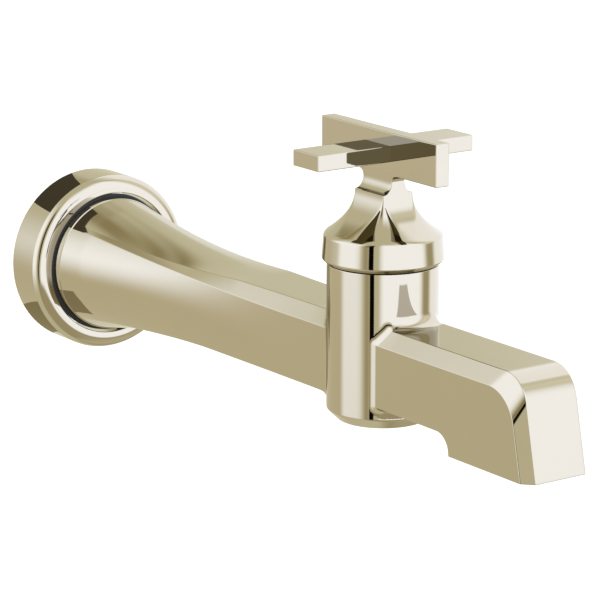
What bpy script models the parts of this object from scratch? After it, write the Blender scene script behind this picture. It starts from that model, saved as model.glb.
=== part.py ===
"""Wall mounted bath faucet with one quarter-turn cross handle, as solid sub-parts.

Frame: the origin is the centre of the flange's back face, in the plane of the wall. +Z is up and the
spout points along -Y. Lengths below are in millimetres. "Reach" is the distance out from the wall, so
a point at reach r has y = -r.
"""

import math

import bmesh
import bpy
import numpy as np
from mathutils import Matrix, Vector

MM = 0.001
CLEARANCE = 0.3  # gap between pieces that touch
SEAL_GAP = 0.1  # gap between a rubber ring and what it seals
ROUND = 40  # segments round a large turned piece
FINE = 24  # segments round a small one
RING_SEGMENTS = 20  # segments round a rubber ring

# Overall
AXIS_REACH = 190.5  # wall to the valve's axis
SPOUT_REACH = 94.4  # the valve's axis to the front edge of the outlet
OUTLET_LENGTH = 40.6  # front to back along the outlet's level face
OUTLET_BOTTOM = -18.7

# Arm and spout section
SPOUT_WIDTH = 27.2
SPOUT_TOP = 15.1
SPOUT_UNDERSIDE = -11.6
CHAMFER_ACROSS = 3.5
CHAMFER_DOWN = 5.2
FRONT_CHAMFER = 3.7
FRONT_SLOPE = 0.215  # reach gained for each millimetre down the outlet's front
NOSE_RADIUS = 11.0
NOSE_EDGE_RADIUS = 13.0
UNDER_NOSE_RADIUS = 6.6
ROOT_FILLET = 4.2  # under the arm and spout, where they meet the barrel

# Trumpet arm
ARM_UNDERSIDE = -12.7
ARM_BACK_REACH = 2.0
TRUMPET_RADIUS = 25.1
TRUMPET_REACH = 20.0  # where the round end starts to change shape
HEIGHT_FLARE = 85.5
WIDTH_FLARE = 150.0
TOP_EDGE_FLARE = 89.0
SIDE_EDGE_FLARE = 134.0
FLARE_POWER = 1.6
TOP_EDGE_ANGLE = 46.2  # where the two chamfer edges and the lower corner leave the round end
SIDE_EDGE_ANGLE = 42.1
LOWER_EDGE_ANGLE = 48.3
TOP_EDGE_DIP = 1.5
TOP_EDGE_DIP_LENGTH = 100.0

# Wall flange
FLANGE_GAP = 1.9  # between the flange and the round end of the arm
FLANGE_RIM_WIDTH = 1.8  # the flat rim round the bore
FLANGE_SHOULDER_WIDTH = 4.6  # the convex shoulder between the rim and the side
FLANGE_SIDE_DEPTH = 14.6
FLANGE_DEPTH = 18.2
FLANGE_EDGE = 0.3
SHOULDER_LEAN = 20.0  # degrees between the side and the shoulder, at the crease where they meet
SHOULDER_SEGMENTS = 7
GASKET_INSET = 1.4  # from the flange's bore
GASKET_WIDTH = 2.2
GASKET_DEPTH = 2.5

# Inlet shank and the socket that takes it
INLET_BORE = 10.3
INLET_DEPTH = 18.0
SHANK_BODY_RADIUS = 14.0
SHANK_BODY_REACH = 42.0
SHANK_NECK_RADIUS = 9.5
SHANK_REACH = 66.0
SHANK_BORE = 6.5
SHANK_O_RINGS = (50.0, 58.0)
SHANK_O_RING_WIRE = 1.0
GRIP_RING_REACH = 16.0
GRIP_RING_WIRE = 1.2
ARM_SCREW_REACH = 32.0
ARM_SCREW_RADIUS = 2.4
ARM_SCREW_LENGTH = 7.6
ARM_SCREW_BITE = 0.6

# Waterway
WATERWAY_RADIUS = 5.0
INLET_PORT_HEIGHT = -4.5
OUTLET_PORT_HEIGHT = 7.0

# Valve barrel
BARREL_RADIUS = 19.0
BARREL_TOP = 33.7
BARREL_BOTTOM = -20.0
BARREL_CHAMFER = 3.6
CHAMBER_RADIUS = 7.5
CHAMBER_FLOOR = -14.0
SEAT_HEIGHT = 1.2
CARTRIDGE_BORE = 12.3
NUT_SEAT_DEPTH = 9.7  # down from the barrel's top
NUT_SEAT_WIDTH = 2.5

# Cartridge
SEAL_THICKNESS = 1.5
SEAL_BORE = 8.3
DISC_RADIUS = 9.3
DISC_THICKNESS = 2.2
DISC_PORT_RADIUS = 2.6
DISC_PORT_OFFSET = 5.2
NOTCH_WIDTH = 3.0
NOTCH_DEPTH = 1.6
DRIVER_THICKNESS = 2.2
DISC_CHAMBER_ROOM = 2.9
WINDOW_WIDTH = 7.0
STEM_RADIUS = 4.6
SHELL_FLANGE_THICKNESS = 2.1
SHELL_NECK_RADIUS = 7.4
SHELL_NECK_HEIGHT = 6.6
SHELL_O_RING_DROP = 5.5  # down from the nut's seat
SHELL_O_RING_WIRE = 0.9
STEM_O_RING_DROPS = (6.5, 2.0)  # down from the nut's seat
STEM_O_RING_WIRE = 0.65
SNAP_RING_THICKNESS = 0.8
SNAP_RING_RADIUS = 6.4
SPLINE_RADIUS = 3.0
SPLINE_TEETH = 20
SPLINE_TOOTH = 0.35
NUT_HEX_FLATS = 21.0
NUT_HEX_HEIGHT = 3.4

# Handle
HANDLE_SEAM = 0.4
COLLAR_OVERHANG = 1.7
COLLAR_TAPER = 0.6
COLLAR_CHAMFER = 1.3
COLLAR_HEIGHT = 9.4
SHOULDER_WIDTH = 0.9
SHOULDER_HEIGHT = 1.0
BELL_HEIGHT = 13.8
BELL_TOP_ACROSS = 6.1  # half sizes of the bell's square top
BELL_TOP_ALONG = 8.05
BELL_POWER = 2.2
NECK_FLARE = 4.1  # height of the concave part between the bell's top and the waist
BAR_FILLET = 2.25  # height of the fillet under the standing bar
BAR_SEAT_GAP = 0.2
BAR_LENGTH = 63.7
STANDING_BAR_THICKNESS = 5.3
STANDING_BAR_HEIGHT = 14.4
FLAT_BAR_THICKNESS = 5.4
FLAT_BAR_WIDTH = 14.2
BAR_EDGE = 0.3
RECESS_ROOM = 0.9  # above the bonnet nut
GLIDE_RING_THICKNESS = 1.0
GLIDE_RING_ROOM = 0.5  # between the glide ring and the bonnet nut
SLEEVE_RADIUS = 5.0
SLEEVE_HEIGHT = 13.4
SPLINE_INSET = 1.2  # the spline's end below the sleeve's
HANDLE_SCREW_RISE = 3.0  # above the recess
HANDLE_SCREW_RADIUS = 1.9
HANDLE_SCREW_LENGTH = 8.0

# Aerator
AERATOR_BORE = 11.0
AERATOR_ROOM = 12.1
AERATOR_RECESS = 0.5
HOUSING_WALL = 1.9
HOUSING_HEIGHT = 9.0
STRAIGHTENER_HEIGHT = 5.0
STRAIGHTENER_HOLE = 1.05
STRAIGHTENER_PITCH = 3.5
SCREEN_THICKNESS = 0.8
WASHER_WIDTH = 3.0
WASHER_THICKNESS = 1.6
OUTLET_RISER_RADIUS = 7.5

# What follows is worked out from the sizes above
SPOUT_HALF = SPOUT_WIDTH / 2
TIP_REACH = AXIS_REACH + SPOUT_REACH
OUTLET_BACK_REACH = TIP_REACH - OUTLET_LENGTH
AERATOR_REACH = (TIP_REACH - FRONT_CHAMFER + OUTLET_BACK_REACH) / 2
FLANGE_BORE = TRUMPET_RADIUS + FLANGE_GAP
FLANGE_RIM_RADIUS = FLANGE_BORE + FLANGE_RIM_WIDTH
FLANGE_RADIUS = FLANGE_RIM_RADIUS + FLANGE_SHOULDER_WIDTH
GASKET_INNER = FLANGE_BORE + GASKET_INSET
GASKET_OUTER = GASKET_INNER + GASKET_WIDTH
NUT_BORE = CARTRIDGE_BORE + NUT_SEAT_WIDTH
NUT_SEAT_HEIGHT = BARREL_TOP - NUT_SEAT_DEPTH
SHELL_O_RING_HEIGHT = NUT_SEAT_HEIGHT - SHELL_O_RING_DROP
STEM_O_RINGS = tuple(NUT_SEAT_HEIGHT - drop for drop in STEM_O_RING_DROPS)
SOCKET_RADIUS = SHANK_NECK_RADIUS + CLEARANCE
SOCKET_REACH = SHANK_REACH + 2.0
SEAL_BOTTOM = SEAT_HEIGHT + CLEARANCE
SHELL_BOTTOM = SEAL_BOTTOM + SEAL_THICKNESS + CLEARANCE
MOVING_DISC_BOTTOM = SHELL_BOTTOM + DISC_THICKNESS + CLEARANCE
DRIVER_BOTTOM = MOVING_DISC_BOTTOM + DISC_THICKNESS + CLEARANCE
DRIVER_TOP = DRIVER_BOTTOM + DRIVER_THICKNESS
DISC_CHAMBER_TOP = DRIVER_TOP + DISC_CHAMBER_ROOM
DISC_CHAMBER_RADIUS = DISC_RADIUS + CLEARANCE
SHELL_RADIUS = CARTRIDGE_BORE - CLEARANCE
SHELL_FLANGE_BOTTOM = NUT_SEAT_HEIGHT + CLEARANCE
SHELL_FLANGE_TOP = SHELL_FLANGE_BOTTOM + SHELL_FLANGE_THICKNESS
SHELL_TOP = SHELL_FLANGE_TOP + SHELL_NECK_HEIGHT
STEM_BORE = STEM_RADIUS + CLEARANCE
NUT_BOTTOM = SHELL_FLANGE_TOP + CLEARANCE
NUT_BODY_TOP = BARREL_TOP - CLEARANCE
NUT_TOP = NUT_BODY_TOP + NUT_HEX_HEIGHT
NUT_INNER = SHELL_NECK_RADIUS + CLEARANCE + 0.1
NUT_RADIUS = NUT_BORE - CLEARANCE
SNAP_RING_BOTTOM = SHELL_TOP + CLEARANCE
SNAP_GROOVE_RADIUS = STEM_RADIUS - 1.0
STEM_TOP = SNAP_RING_BOTTOM + SNAP_RING_THICKNESS + 0.8
GLIDE_RING_RADIUS = BARREL_RADIUS - 0.6
GLIDE_RING_BORE = NUT_BORE + GLIDE_RING_ROOM
GLIDE_RING_BOTTOM = BARREL_TOP + CLEARANCE
COLLAR_BOTTOM = BARREL_TOP + HANDLE_SEAM
COLLAR_TOP = COLLAR_BOTTOM + COLLAR_HEIGHT
COLLAR_RADIUS = BARREL_RADIUS + COLLAR_OVERHANG
COLLAR_TOP_RADIUS = COLLAR_RADIUS - COLLAR_TAPER
BELL_BASE_RADIUS = COLLAR_TOP_RADIUS - SHOULDER_WIDTH
BELL_BASE = COLLAR_TOP + SHOULDER_HEIGHT
BELL_TOP = BELL_BASE + BELL_HEIGHT
NECK_WAIST = BELL_TOP + NECK_FLARE
STANDING_BAR_BOTTOM = NECK_WAIST + BAR_FILLET
RECESS_TOP = NUT_TOP + RECESS_ROOM
SLEEVE_BOTTOM = RECESS_TOP + CLEARANCE
SLEEVE_TOP = SLEEVE_BOTTOM + SLEEVE_HEIGHT
SPLINE_TOP = SLEEVE_TOP - SPLINE_INSET
HANDLE_SCREW_HEIGHT = RECESS_TOP + HANDLE_SCREW_RISE
SLEEVE_BORE = SPLINE_RADIUS + CLEARANCE
GRIP_RING_MIDDLE = FLANGE_BORE - CLEARANCE - GRIP_RING_WIRE
BAR_MIDDLE = STANDING_BAR_BOTTOM + STANDING_BAR_HEIGHT / 2

FORWARD = Matrix.Rotation(math.pi / 2, 4, "X")  # turns a piece's own +Z to point out from the wall
UPRIGHT = Matrix.Identity(4)


# ---------------------------------------------------------------- scene and materials


def clear_scene():
    for item in list(bpy.data.objects):
        bpy.data.objects.remove(item, do_unlink=True)


def new_collection(name):
    made = bpy.data.collections.new(name)
    bpy.context.scene.collection.children.link(made)
    return made


def make_material(name, colour, roughness, metallic):
    material = bpy.data.materials.new(name)
    material.use_nodes = True
    shader = material.node_tree.nodes["Principled BSDF"]
    shader.inputs["Base Color"].default_value = (*colour, 1.0)
    shader.inputs["Roughness"].default_value = roughness
    shader.inputs["Metallic"].default_value = metallic
    return material


clear_scene()
PARTS = new_collection("wall_bath_faucet")
CUTTERS = new_collection("cutters")
NICKEL = make_material("polished_nickel", (0.78, 0.72, 0.60), 0.08, 1.0)
BRASS = make_material("brass", (0.72, 0.53, 0.25), 0.3, 1.0)
STEEL = make_material("stainless_steel", (0.62, 0.62, 0.60), 0.3, 1.0)
CERAMIC = make_material("alumina_ceramic", (0.88, 0.86, 0.80), 0.2, 0.0)
RUBBER = make_material("black_rubber", (0.02, 0.02, 0.02), 0.6, 0.0)
FOAM = make_material("grey_foam", (0.12, 0.12, 0.12), 0.9, 0.0)
PLASTIC = make_material("white_plastic", (0.80, 0.80, 0.77), 0.4, 0.0)
GLIDE = make_material("dark_plastic", (0.05, 0.05, 0.045), 0.5, 0.0)


def empty(name, at):
    """An empty that a group of pieces hangs from, at a point in millimetres."""
    made = bpy.data.objects.new(name, None)
    made.location = Vector(at) * MM
    PARTS.objects.link(made)
    return made


BODY = empty("body_frame", (0, 0, 0))
HANDLE = empty("handle_axis", (0, -AXIS_REACH, 0))


# ---------------------------------------------------------------- building shapes


def wrap(name, mesh, at=(0, 0, 0), turn=UPRIGHT, collection=None):
    """An object that shows the mesh at a point in millimetres, turned by a matrix."""
    made = bpy.data.objects.new(name, mesh)
    made.matrix_world = Matrix.Translation(Vector(at) * MM) @ turn
    (collection or PARTS).objects.link(made)
    return made


def finish_mesh(name, working):
    bmesh.ops.recalc_face_normals(working, faces=working.faces)
    mesh = bpy.data.meshes.new(name)
    working.to_mesh(mesh)
    working.free()
    return mesh


def turned(name, profile, at=(0, 0, 0), turn=UPRIGHT, segments=ROUND, closed=False, collection=None):
    """A turned solid. The profile holds (radius, height) points that run down its outer side."""
    points = [(radius * MM, 0, height * MM) for radius, height in profile]
    edges = [(i, i + 1) for i in range(len(points) - 1)]
    if closed:
        edges.append((len(points) - 1, 0))
    mesh = bpy.data.meshes.new(name)
    mesh.from_pydata(points, edges, [])
    made = wrap(name, mesh, at, turn, collection)
    screw = made.modifiers.new("turn", "SCREW")
    screw.steps = segments
    screw.render_steps = segments
    screw.use_merge_vertices = True
    screw.merge_threshold = 1e-6
    return made


def ring(name, inner, outer, bottom, top, at=(0, 0, 0), turn=UPRIGHT, segments=ROUND):
    """A flat ring between two radii and two heights."""
    profile = [(outer, top), (outer, bottom), (inner, bottom), (inner, top)]
    return turned(name, profile, at, turn, segments, closed=True)


def rod(name, radius, start, end, at=(0, 0, 0), turn=UPRIGHT, segments=FINE, collection=None):
    """A plain cylinder from one height to another along its own Z, with no corner on its X or Y axis."""
    working = bmesh.new()
    half_facet = Matrix.Rotation(math.pi / segments, 4, "Z")
    bmesh.ops.create_cone(
        working,
        cap_ends=True,
        segments=segments,
        radius1=radius * MM,
        radius2=radius * MM,
        depth=(end - start) * MM,
        matrix=Matrix.Translation((0, 0, (start + end) / 2 * MM)) @ half_facet,
    )
    return wrap(name, finish_mesh(name, working), at, turn, collection)


def block(name, size, at, collection=None):
    """A box of a size about its centre."""
    working = bmesh.new()
    bmesh.ops.create_cube(working, size=1.0, matrix=Matrix.Diagonal((*(Vector(size) * MM), 1.0)))
    return wrap(name, finish_mesh(name, working), at, UPRIGHT, collection)


def o_ring(name, radius, wire, at, turn=UPRIGHT):
    """A rubber ring whose wire has this radius, on a circle of the other."""
    bpy.ops.mesh.primitive_torus_add(
        major_radius=radius * MM,
        minor_radius=wire * MM,
        major_segments=RING_SEGMENTS,
        minor_segments=5,
    )
    made = bpy.context.object
    made.name = name
    for home in list(made.users_collection):
        home.objects.unlink(made)
    PARTS.objects.link(made)
    made.matrix_world = Matrix.Translation(Vector(at) * MM) @ turn
    return made


def loft(name, sections, at=(0, 0, 0), collection=None):
    """A solid through closed sections that all have the same number of points."""
    working = bmesh.new()
    loops = [[working.verts.new(Vector(point) * MM) for point in section] for section in sections]
    count = len(loops[0])
    for lower, upper in zip(loops, loops[1:]):
        for i in range(count):
            following = (i + 1) % count
            working.faces.new((lower[i], lower[following], upper[following], upper[i]))
    working.faces.new(loops[0][::-1])
    working.faces.new(loops[-1])
    return wrap(name, finish_mesh(name, working), at, UPRIGHT, collection)


def hide(tool):
    tool.hide_render = True
    tool.display_type = "WIRE"


def boolean(target, tool, operation):
    hide(tool)
    modifier = target.modifiers.new(tool.name, "BOOLEAN")
    modifier.operation = operation
    modifier.object = tool
    modifier.solver = "EXACT"


def cut(target, tool):
    boolean(target, tool, "DIFFERENCE")


def join(target, tool):
    boolean(target, tool, "UNION")


def soften(target, width):
    """Small rounded edges."""
    bevel = target.modifiers.new("edge", "BEVEL")
    bevel.width = width * MM
    bevel.segments = 1
    bevel.limit_method = "ANGLE"


def belong(target, material, parent):
    """Give a piece its material and hang it from its body's empty."""
    target.data.materials.append(material)
    target.data.shade_smooth()
    target.data.set_sharp_from_angle(angle=math.radians(30))
    world = target.matrix_world.copy()
    target.parent = parent
    target.matrix_parent_inverse = Matrix.Translation(-parent.location)
    target.matrix_world = world
    return target


def on_valve(height=0.0):
    """A point on the valve's axis."""
    return (0, -AXIS_REACH, height)


# ---------------------------------------------------------------- curves


def arc_between(start, end, sagitta, count):
    """Points from start up to, not including, end on an arc that stands off its chord by the sagitta."""
    start, end = np.array(start, float), np.array(end, float)
    along = end - start
    chord = np.hypot(*along)
    outward = np.array([along[1], -along[0]]) / chord
    steps = np.linspace(0, 1, count, endpoint=False)
    if abs(sagitta) < 1e-3:
        return [tuple(start + along * step) for step in steps]
    radius = (chord**2 / 4 + sagitta**2) / (2 * sagitta)
    centre = (start + end) / 2 + outward * (sagitta - radius)
    half_angle = 2 * math.atan2(2 * sagitta, chord)
    points = []
    for step in steps:
        angle = half_angle * (2 * step - 1)
        offset = outward * math.cos(angle) + along / chord * math.sin(angle)
        points.append(tuple(centre + radius * offset))
    return points


def fillet_drop(across, reach, fillet):
    """How far the fillet round the barrel hangs below a flat underside, at one point of it."""
    distance = math.hypot(across, reach - AXIS_REACH)
    into = BARREL_RADIUS + fillet - distance
    if into <= 0:
        return 0.0
    into = min(into, fillet)
    return fillet - math.sqrt(fillet**2 - into**2)


def rounded_corner(start, corner, end, radius, count):
    """Points on the arc of a radius that rounds the corner between two straight lines."""
    start, corner, end = Vector(start), Vector(corner), Vector(end)
    back, ahead = (start - corner).normalized(), (end - corner).normalized()
    half = back.angle(ahead) / 2
    middle = corner + (back + ahead).normalized() * radius / math.sin(half)
    first = corner + back * radius / math.tan(half) - middle
    last = corner + ahead * radius / math.tan(half) - middle
    sweep = first.angle_signed(last)
    points = []
    for i in range(count):
        angle = -sweep * i / (count - 1)
        turned_to = Matrix.Rotation(angle, 2) @ first
        points.append(tuple(middle + turned_to))
    return points


# ---------------------------------------------------------------- wall side


def shoulder_profile():
    """Points (radius, reach) of the flange's convex shoulder, from the rim out to the crease: a curve whose two
    arms run level from the rim and at the lean from the crease."""
    rim = Vector((FLANGE_RIM_RADIUS, FLANGE_DEPTH))
    crease = Vector((FLANGE_RADIUS, FLANGE_SIDE_DEPTH))
    arm = (FLANGE_DEPTH - FLANGE_SIDE_DEPTH) * math.tan(math.radians(SHOULDER_LEAN))
    middle = Vector((FLANGE_RADIUS - arm, FLANGE_DEPTH))
    points = []
    for i in range(SHOULDER_SEGMENTS + 1):
        t = i / SHOULDER_SEGMENTS
        points.append(tuple((1 - t) ** 2 * rim + 2 * t * (1 - t) * middle + t**2 * crease))
    return points


def wall_flange():
    """Ring with a convex shoulder that covers the hole in the wall, with a groove behind for the gasket."""
    profile = [
        (FLANGE_BORE + FLANGE_EDGE, FLANGE_DEPTH),
        *shoulder_profile(),
        (FLANGE_RADIUS, 0),
        (GASKET_OUTER, 0),
        (GASKET_OUTER, GASKET_DEPTH),
        (GASKET_INNER, GASKET_DEPTH),
        (GASKET_INNER, 0),
        (FLANGE_BORE, 0),
        (FLANGE_BORE, FLANGE_DEPTH - FLANGE_EDGE),
    ]
    belong(turned("wall_flange", profile, turn=FORWARD, closed=True), NICKEL, BODY)
    gasket = ring(
        "flange_gasket",
        GASKET_INNER + CLEARANCE / 2,
        GASKET_OUTER - CLEARANCE / 2,
        CLEARANCE / 2,
        GASKET_DEPTH - CLEARANCE / 2,
        turn=FORWARD,
    )
    belong(gasket, FOAM, BODY)


def groove_floor(ring_radius, wire):
    """Radius of the groove under a rubber ring, clear of the ring's flat facets."""
    return (ring_radius - wire) * math.cos(math.pi / RING_SEGMENTS) - SEAL_GAP


def groove(radius, depth, middle, half_width):
    """Profile points of a groove that runs down a turned piece's outer side."""
    return [
        (radius, middle + half_width),
        (radius - depth, middle + half_width),
        (radius - depth, middle - half_width),
        (radius, middle - half_width),
    ]


def inlet_shank():
    """Brass shank that threads onto the supply nipple and carries the arm."""
    wire = SHANK_O_RING_WIRE
    middle = SOCKET_RADIUS - SEAL_GAP - wire
    depth = SHANK_NECK_RADIUS - groove_floor(middle, wire)
    profile = [(SHANK_BORE, SHANK_REACH), (SHANK_NECK_RADIUS, SHANK_REACH)]
    for reach in reversed(SHANK_O_RINGS):
        profile += groove(SHANK_NECK_RADIUS, depth, reach, wire + SEAL_GAP)
    profile += [(SHANK_NECK_RADIUS, SHANK_BODY_REACH), (SHANK_BODY_RADIUS, SHANK_BODY_REACH)]
    profile += groove(SHANK_BODY_RADIUS, ARM_SCREW_BITE, ARM_SCREW_REACH, ARM_SCREW_RADIUS + 0.6)
    profile += [
        (SHANK_BODY_RADIUS, CLEARANCE),
        (INLET_BORE, CLEARANCE),
        (INLET_BORE, INLET_DEPTH),
        (SHANK_BORE, INLET_DEPTH),
    ]
    belong(turned("inlet_shank", profile, turn=FORWARD, segments=FINE, closed=True), BRASS, BODY)
    for name, reach in zip(("rear", "front"), SHANK_O_RINGS):
        belong(o_ring(f"shank_o_ring_{name}", middle, wire, (0, -reach, 0), FORWARD), RUBBER, BODY)
    grip = o_ring("flange_grip_ring", GRIP_RING_MIDDLE, GRIP_RING_WIRE, (0, -GRIP_RING_REACH, 0), FORWARD)
    belong(grip, RUBBER, BODY)


def grub_screw(name, radius, length, tip, towards):
    """A set screw with a chamfered point and a six-sided socket, its point at tip."""
    turn = Vector(towards).to_track_quat("Z", "Y").to_matrix().to_4x4()
    profile = [(0, 0), (radius * 0.6, 0), (radius, -radius * 0.4), (radius, -length), (0, -length)]
    screw = turned(name, profile, tip, turn, 20)
    socket = rod(name + "_socket", radius * 0.5, -length - 1, -length * 0.6, tip, turn, 6, CUTTERS)
    cut(screw, socket)
    return belong(screw, STEEL, BODY)


# ---------------------------------------------------------------- trumpet arm


def flare(reach, length):
    """1 at the round end of the trumpet, falling smoothly to 0 over a length."""
    return max(0.0, min(1.0, 1 - (reach - TRUMPET_REACH) / length)) ** FLARE_POWER


def blend(shape, round_value, share):
    return shape + (round_value - shape) * share


def arm_section(reach):
    """The arm's outline at one reach: round at the wall, a rectangle with two chamfers at the valve."""
    radius = TRUMPET_RADIUS
    tall, wide = flare(reach, HEIGHT_FLARE), flare(reach, WIDTH_FLARE)
    top_share, side_share = flare(reach, TOP_EDGE_FLARE), flare(reach, SIDE_EDGE_FLARE)
    top_angle, side_angle = math.radians(TOP_EDGE_ANGLE), math.radians(SIDE_EDGE_ANGLE)
    lower_angle = math.radians(LOWER_EDGE_ANGLE)
    dip_phase = min(1.0, max(0.0, (reach - TRUMPET_REACH) / TOP_EDGE_DIP_LENGTH))
    top_x = blend(SPOUT_HALF - CHAMFER_ACROSS, radius * math.cos(top_angle), wide)
    top_z = blend(SPOUT_TOP, radius * math.sin(top_angle), top_share)
    top_z -= TOP_EDGE_DIP * math.sin(math.pi * dip_phase)
    crown = max(0.0, blend(SPOUT_TOP, radius, tall) - top_z)
    side_x = blend(SPOUT_HALF, radius * math.cos(side_angle), wide)
    side_z = blend(SPOUT_TOP - CHAMFER_DOWN, radius * math.sin(side_angle), side_share)
    lower_x = blend(SPOUT_HALF, radius * math.cos(lower_angle), wide)
    lower_z = blend(ARM_UNDERSIDE, -radius * math.sin(lower_angle), tall)
    side_bulge = radius * (1 - math.cos((side_angle + lower_angle) / 2)) * wide
    belly = radius * (1 - math.sin(lower_angle)) * tall
    outline = arc_between((-top_x, top_z), (top_x, top_z), -crown, 9)
    outline += [(top_x, top_z)]
    outline += arc_between((side_x, side_z), (lower_x, lower_z), -side_bulge, 6)
    outline += arc_between((lower_x, lower_z), (-lower_x, lower_z), -belly, 7)
    outline += arc_between((-lower_x, lower_z), (-side_x, side_z), -side_bulge, 6)
    outline += [(-side_x, side_z)]
    section = []
    for x, z in outline:
        if z <= lower_z + 1e-6:
            z -= fillet_drop(x, reach, ROOT_FILLET)
        section.append((x, -reach, z))
    return section


def rear_arm():
    """Trumpet arm with the shank's socket and the waterway."""
    end = AXIS_REACH - BARREL_RADIUS / 2
    root = AXIS_REACH - BARREL_RADIUS - ROOT_FILLET
    stations = [ARM_BACK_REACH, TRUMPET_REACH]
    stations += list(np.linspace(TRUMPET_REACH, root, 13)[1:])
    stations += list(np.linspace(root, end, 7)[1:])
    arm = loft("rear_arm", [arm_section(reach) for reach in stations])
    socket = [
        (0, SOCKET_REACH),
        (SOCKET_RADIUS, SOCKET_REACH),
        (SOCKET_RADIUS, SHANK_BODY_REACH + CLEARANCE),
        (SHANK_BODY_RADIUS + CLEARANCE, SHANK_BODY_REACH + CLEARANCE),
        (SHANK_BODY_RADIUS + CLEARANCE, -5),
        (0, -5),
    ]
    cut(arm, turned("arm_socket_cutter", socket, turn=FORWARD, collection=CUTTERS))
    groove_radius = groove_floor(GRIP_RING_MIDDLE, GRIP_RING_WIRE)
    half = GRIP_RING_WIRE + SEAL_GAP
    ring_groove = [
        (TRUMPET_RADIUS + 2, half),
        (TRUMPET_RADIUS + 2, -half),
        (groove_radius, -half),
        (groove_radius, half),
    ]
    place = (0, -GRIP_RING_REACH, 0)
    cut(arm, turned("arm_groove_cutter", ring_groove, place, FORWARD, closed=True, collection=CUTTERS))
    way = (0, 0, INLET_PORT_HEIGHT)
    waterway = rod(
        "arm_waterway_cutter", WATERWAY_RADIUS, SOCKET_REACH - 3, AXIS_REACH, way, FORWARD, FINE, CUTTERS
    )
    cut(arm, waterway)
    cut(arm, barrel_cutter("arm_barrel_cutter"))
    hole_start = -SHANK_BODY_RADIUS + 2
    screw_hole = rod(
        "arm_screw_cutter",
        ARM_SCREW_RADIUS + CLEARANCE,
        -TRUMPET_RADIUS - 5,
        hole_start,
        (0, -ARM_SCREW_REACH, 0),
        collection=CUTTERS,
    )
    cut(arm, screw_hole)
    belong(arm, NICKEL, BODY)
    tip = (0, -ARM_SCREW_REACH, -(SHANK_BODY_RADIUS - ARM_SCREW_BITE + CLEARANCE))
    grub_screw("arm_set_screw", ARM_SCREW_RADIUS, ARM_SCREW_LENGTH, tip, (0, 0, 1))


def barrel_cutter(name):
    """The space that the barrel takes out of the arm and the spout."""
    radius = BARREL_RADIUS + CLEARANCE
    return rod(name, radius, BARREL_BOTTOM - 10, BARREL_TOP, on_valve(), UPRIGHT, 64, CUTTERS)


# ---------------------------------------------------------------- valve barrel


def valve_barrel():
    """Upright cylinder bored for the cartridge, with an inlet port behind and an outlet port in front."""
    profile = [
        (0, CHAMBER_FLOOR),
        (CHAMBER_RADIUS, CHAMBER_FLOOR),
        (CHAMBER_RADIUS, SEAT_HEIGHT),
        (CARTRIDGE_BORE, SEAT_HEIGHT),
        (CARTRIDGE_BORE, NUT_SEAT_HEIGHT),
        (NUT_BORE, NUT_SEAT_HEIGHT),
        (NUT_BORE, BARREL_TOP),
        (BARREL_RADIUS, BARREL_TOP),
        (BARREL_RADIUS, BARREL_BOTTOM + BARREL_CHAMFER),
        (BARREL_RADIUS - BARREL_CHAMFER, BARREL_BOTTOM),
        (0, BARREL_BOTTOM),
    ]
    facets = 56
    half_facet = Matrix.Rotation(math.pi / facets, 4, "Z")
    barrel = turned("valve_barrel", profile, on_valve(), half_facet, facets)
    reach = BARREL_RADIUS + 5
    inlet = rod(
        "inlet_port_cutter",
        WATERWAY_RADIUS,
        -reach,
        0,
        on_valve(INLET_PORT_HEIGHT),
        FORWARD,
        collection=CUTTERS,
    )
    outlet = rod(
        "outlet_port_cutter",
        WATERWAY_RADIUS,
        0,
        reach,
        on_valve(OUTLET_PORT_HEIGHT),
        FORWARD,
        collection=CUTTERS,
    )
    cut(barrel, inlet)
    cut(barrel, outlet)
    belong(barrel, NICKEL, BODY)


# ---------------------------------------------------------------- spout


def spout_outlines(count):
    """Side-view outlines of the nose: the front's edge, the side's upper edge and the underside."""
    drop = SPOUT_TOP - OUTLET_BOTTOM
    start = AXIS_REACH + BARREL_RADIUS
    top_corner = (TIP_REACH - FRONT_SLOPE * drop, SPOUT_TOP)
    front = rounded_corner((start, SPOUT_TOP), top_corner, (TIP_REACH, OUTLET_BOTTOM), NOSE_RADIUS, count)
    edge_tip = TIP_REACH - FRONT_CHAMFER
    edge_height = SPOUT_TOP - CHAMFER_DOWN
    edge_corner = (edge_tip - FRONT_SLOPE * (drop - CHAMFER_DOWN), edge_height)
    side = rounded_corner(
        (start, edge_height), edge_corner, (edge_tip, OUTLET_BOTTOM), NOSE_EDGE_RADIUS, count
    )
    back_corner = (OUTLET_BACK_REACH, SPOUT_UNDERSIDE)
    radius = min(UNDER_NOSE_RADIUS, SPOUT_UNDERSIDE - OUTLET_BOTTOM - 0.2)
    under = rounded_corner(
        (start, SPOUT_UNDERSIDE), back_corner, (OUTLET_BACK_REACH, OUTLET_BOTTOM), radius, count
    )
    front.append((TIP_REACH, OUTLET_BOTTOM))
    side.append((edge_tip, OUTLET_BOTTOM))
    under.append((OUTLET_BACK_REACH, OUTLET_BOTTOM))
    return front, side, under


def spout_section(front, side, under):
    """One closed section from a point on each outline."""
    half, inner = SPOUT_HALF, SPOUT_HALF - CHAMFER_ACROSS
    points = [(-inner, *front), (inner, *front), (half, *side)]
    for share in np.linspace(1, -1, 7):
        reach, height = under
        x = half * float(share)
        points.append((x, reach, height - fillet_drop(x, reach, ROOT_FILLET)))
    points.append((-half, *side))
    return [(x, -reach, height) for x, reach, height in points]


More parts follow.
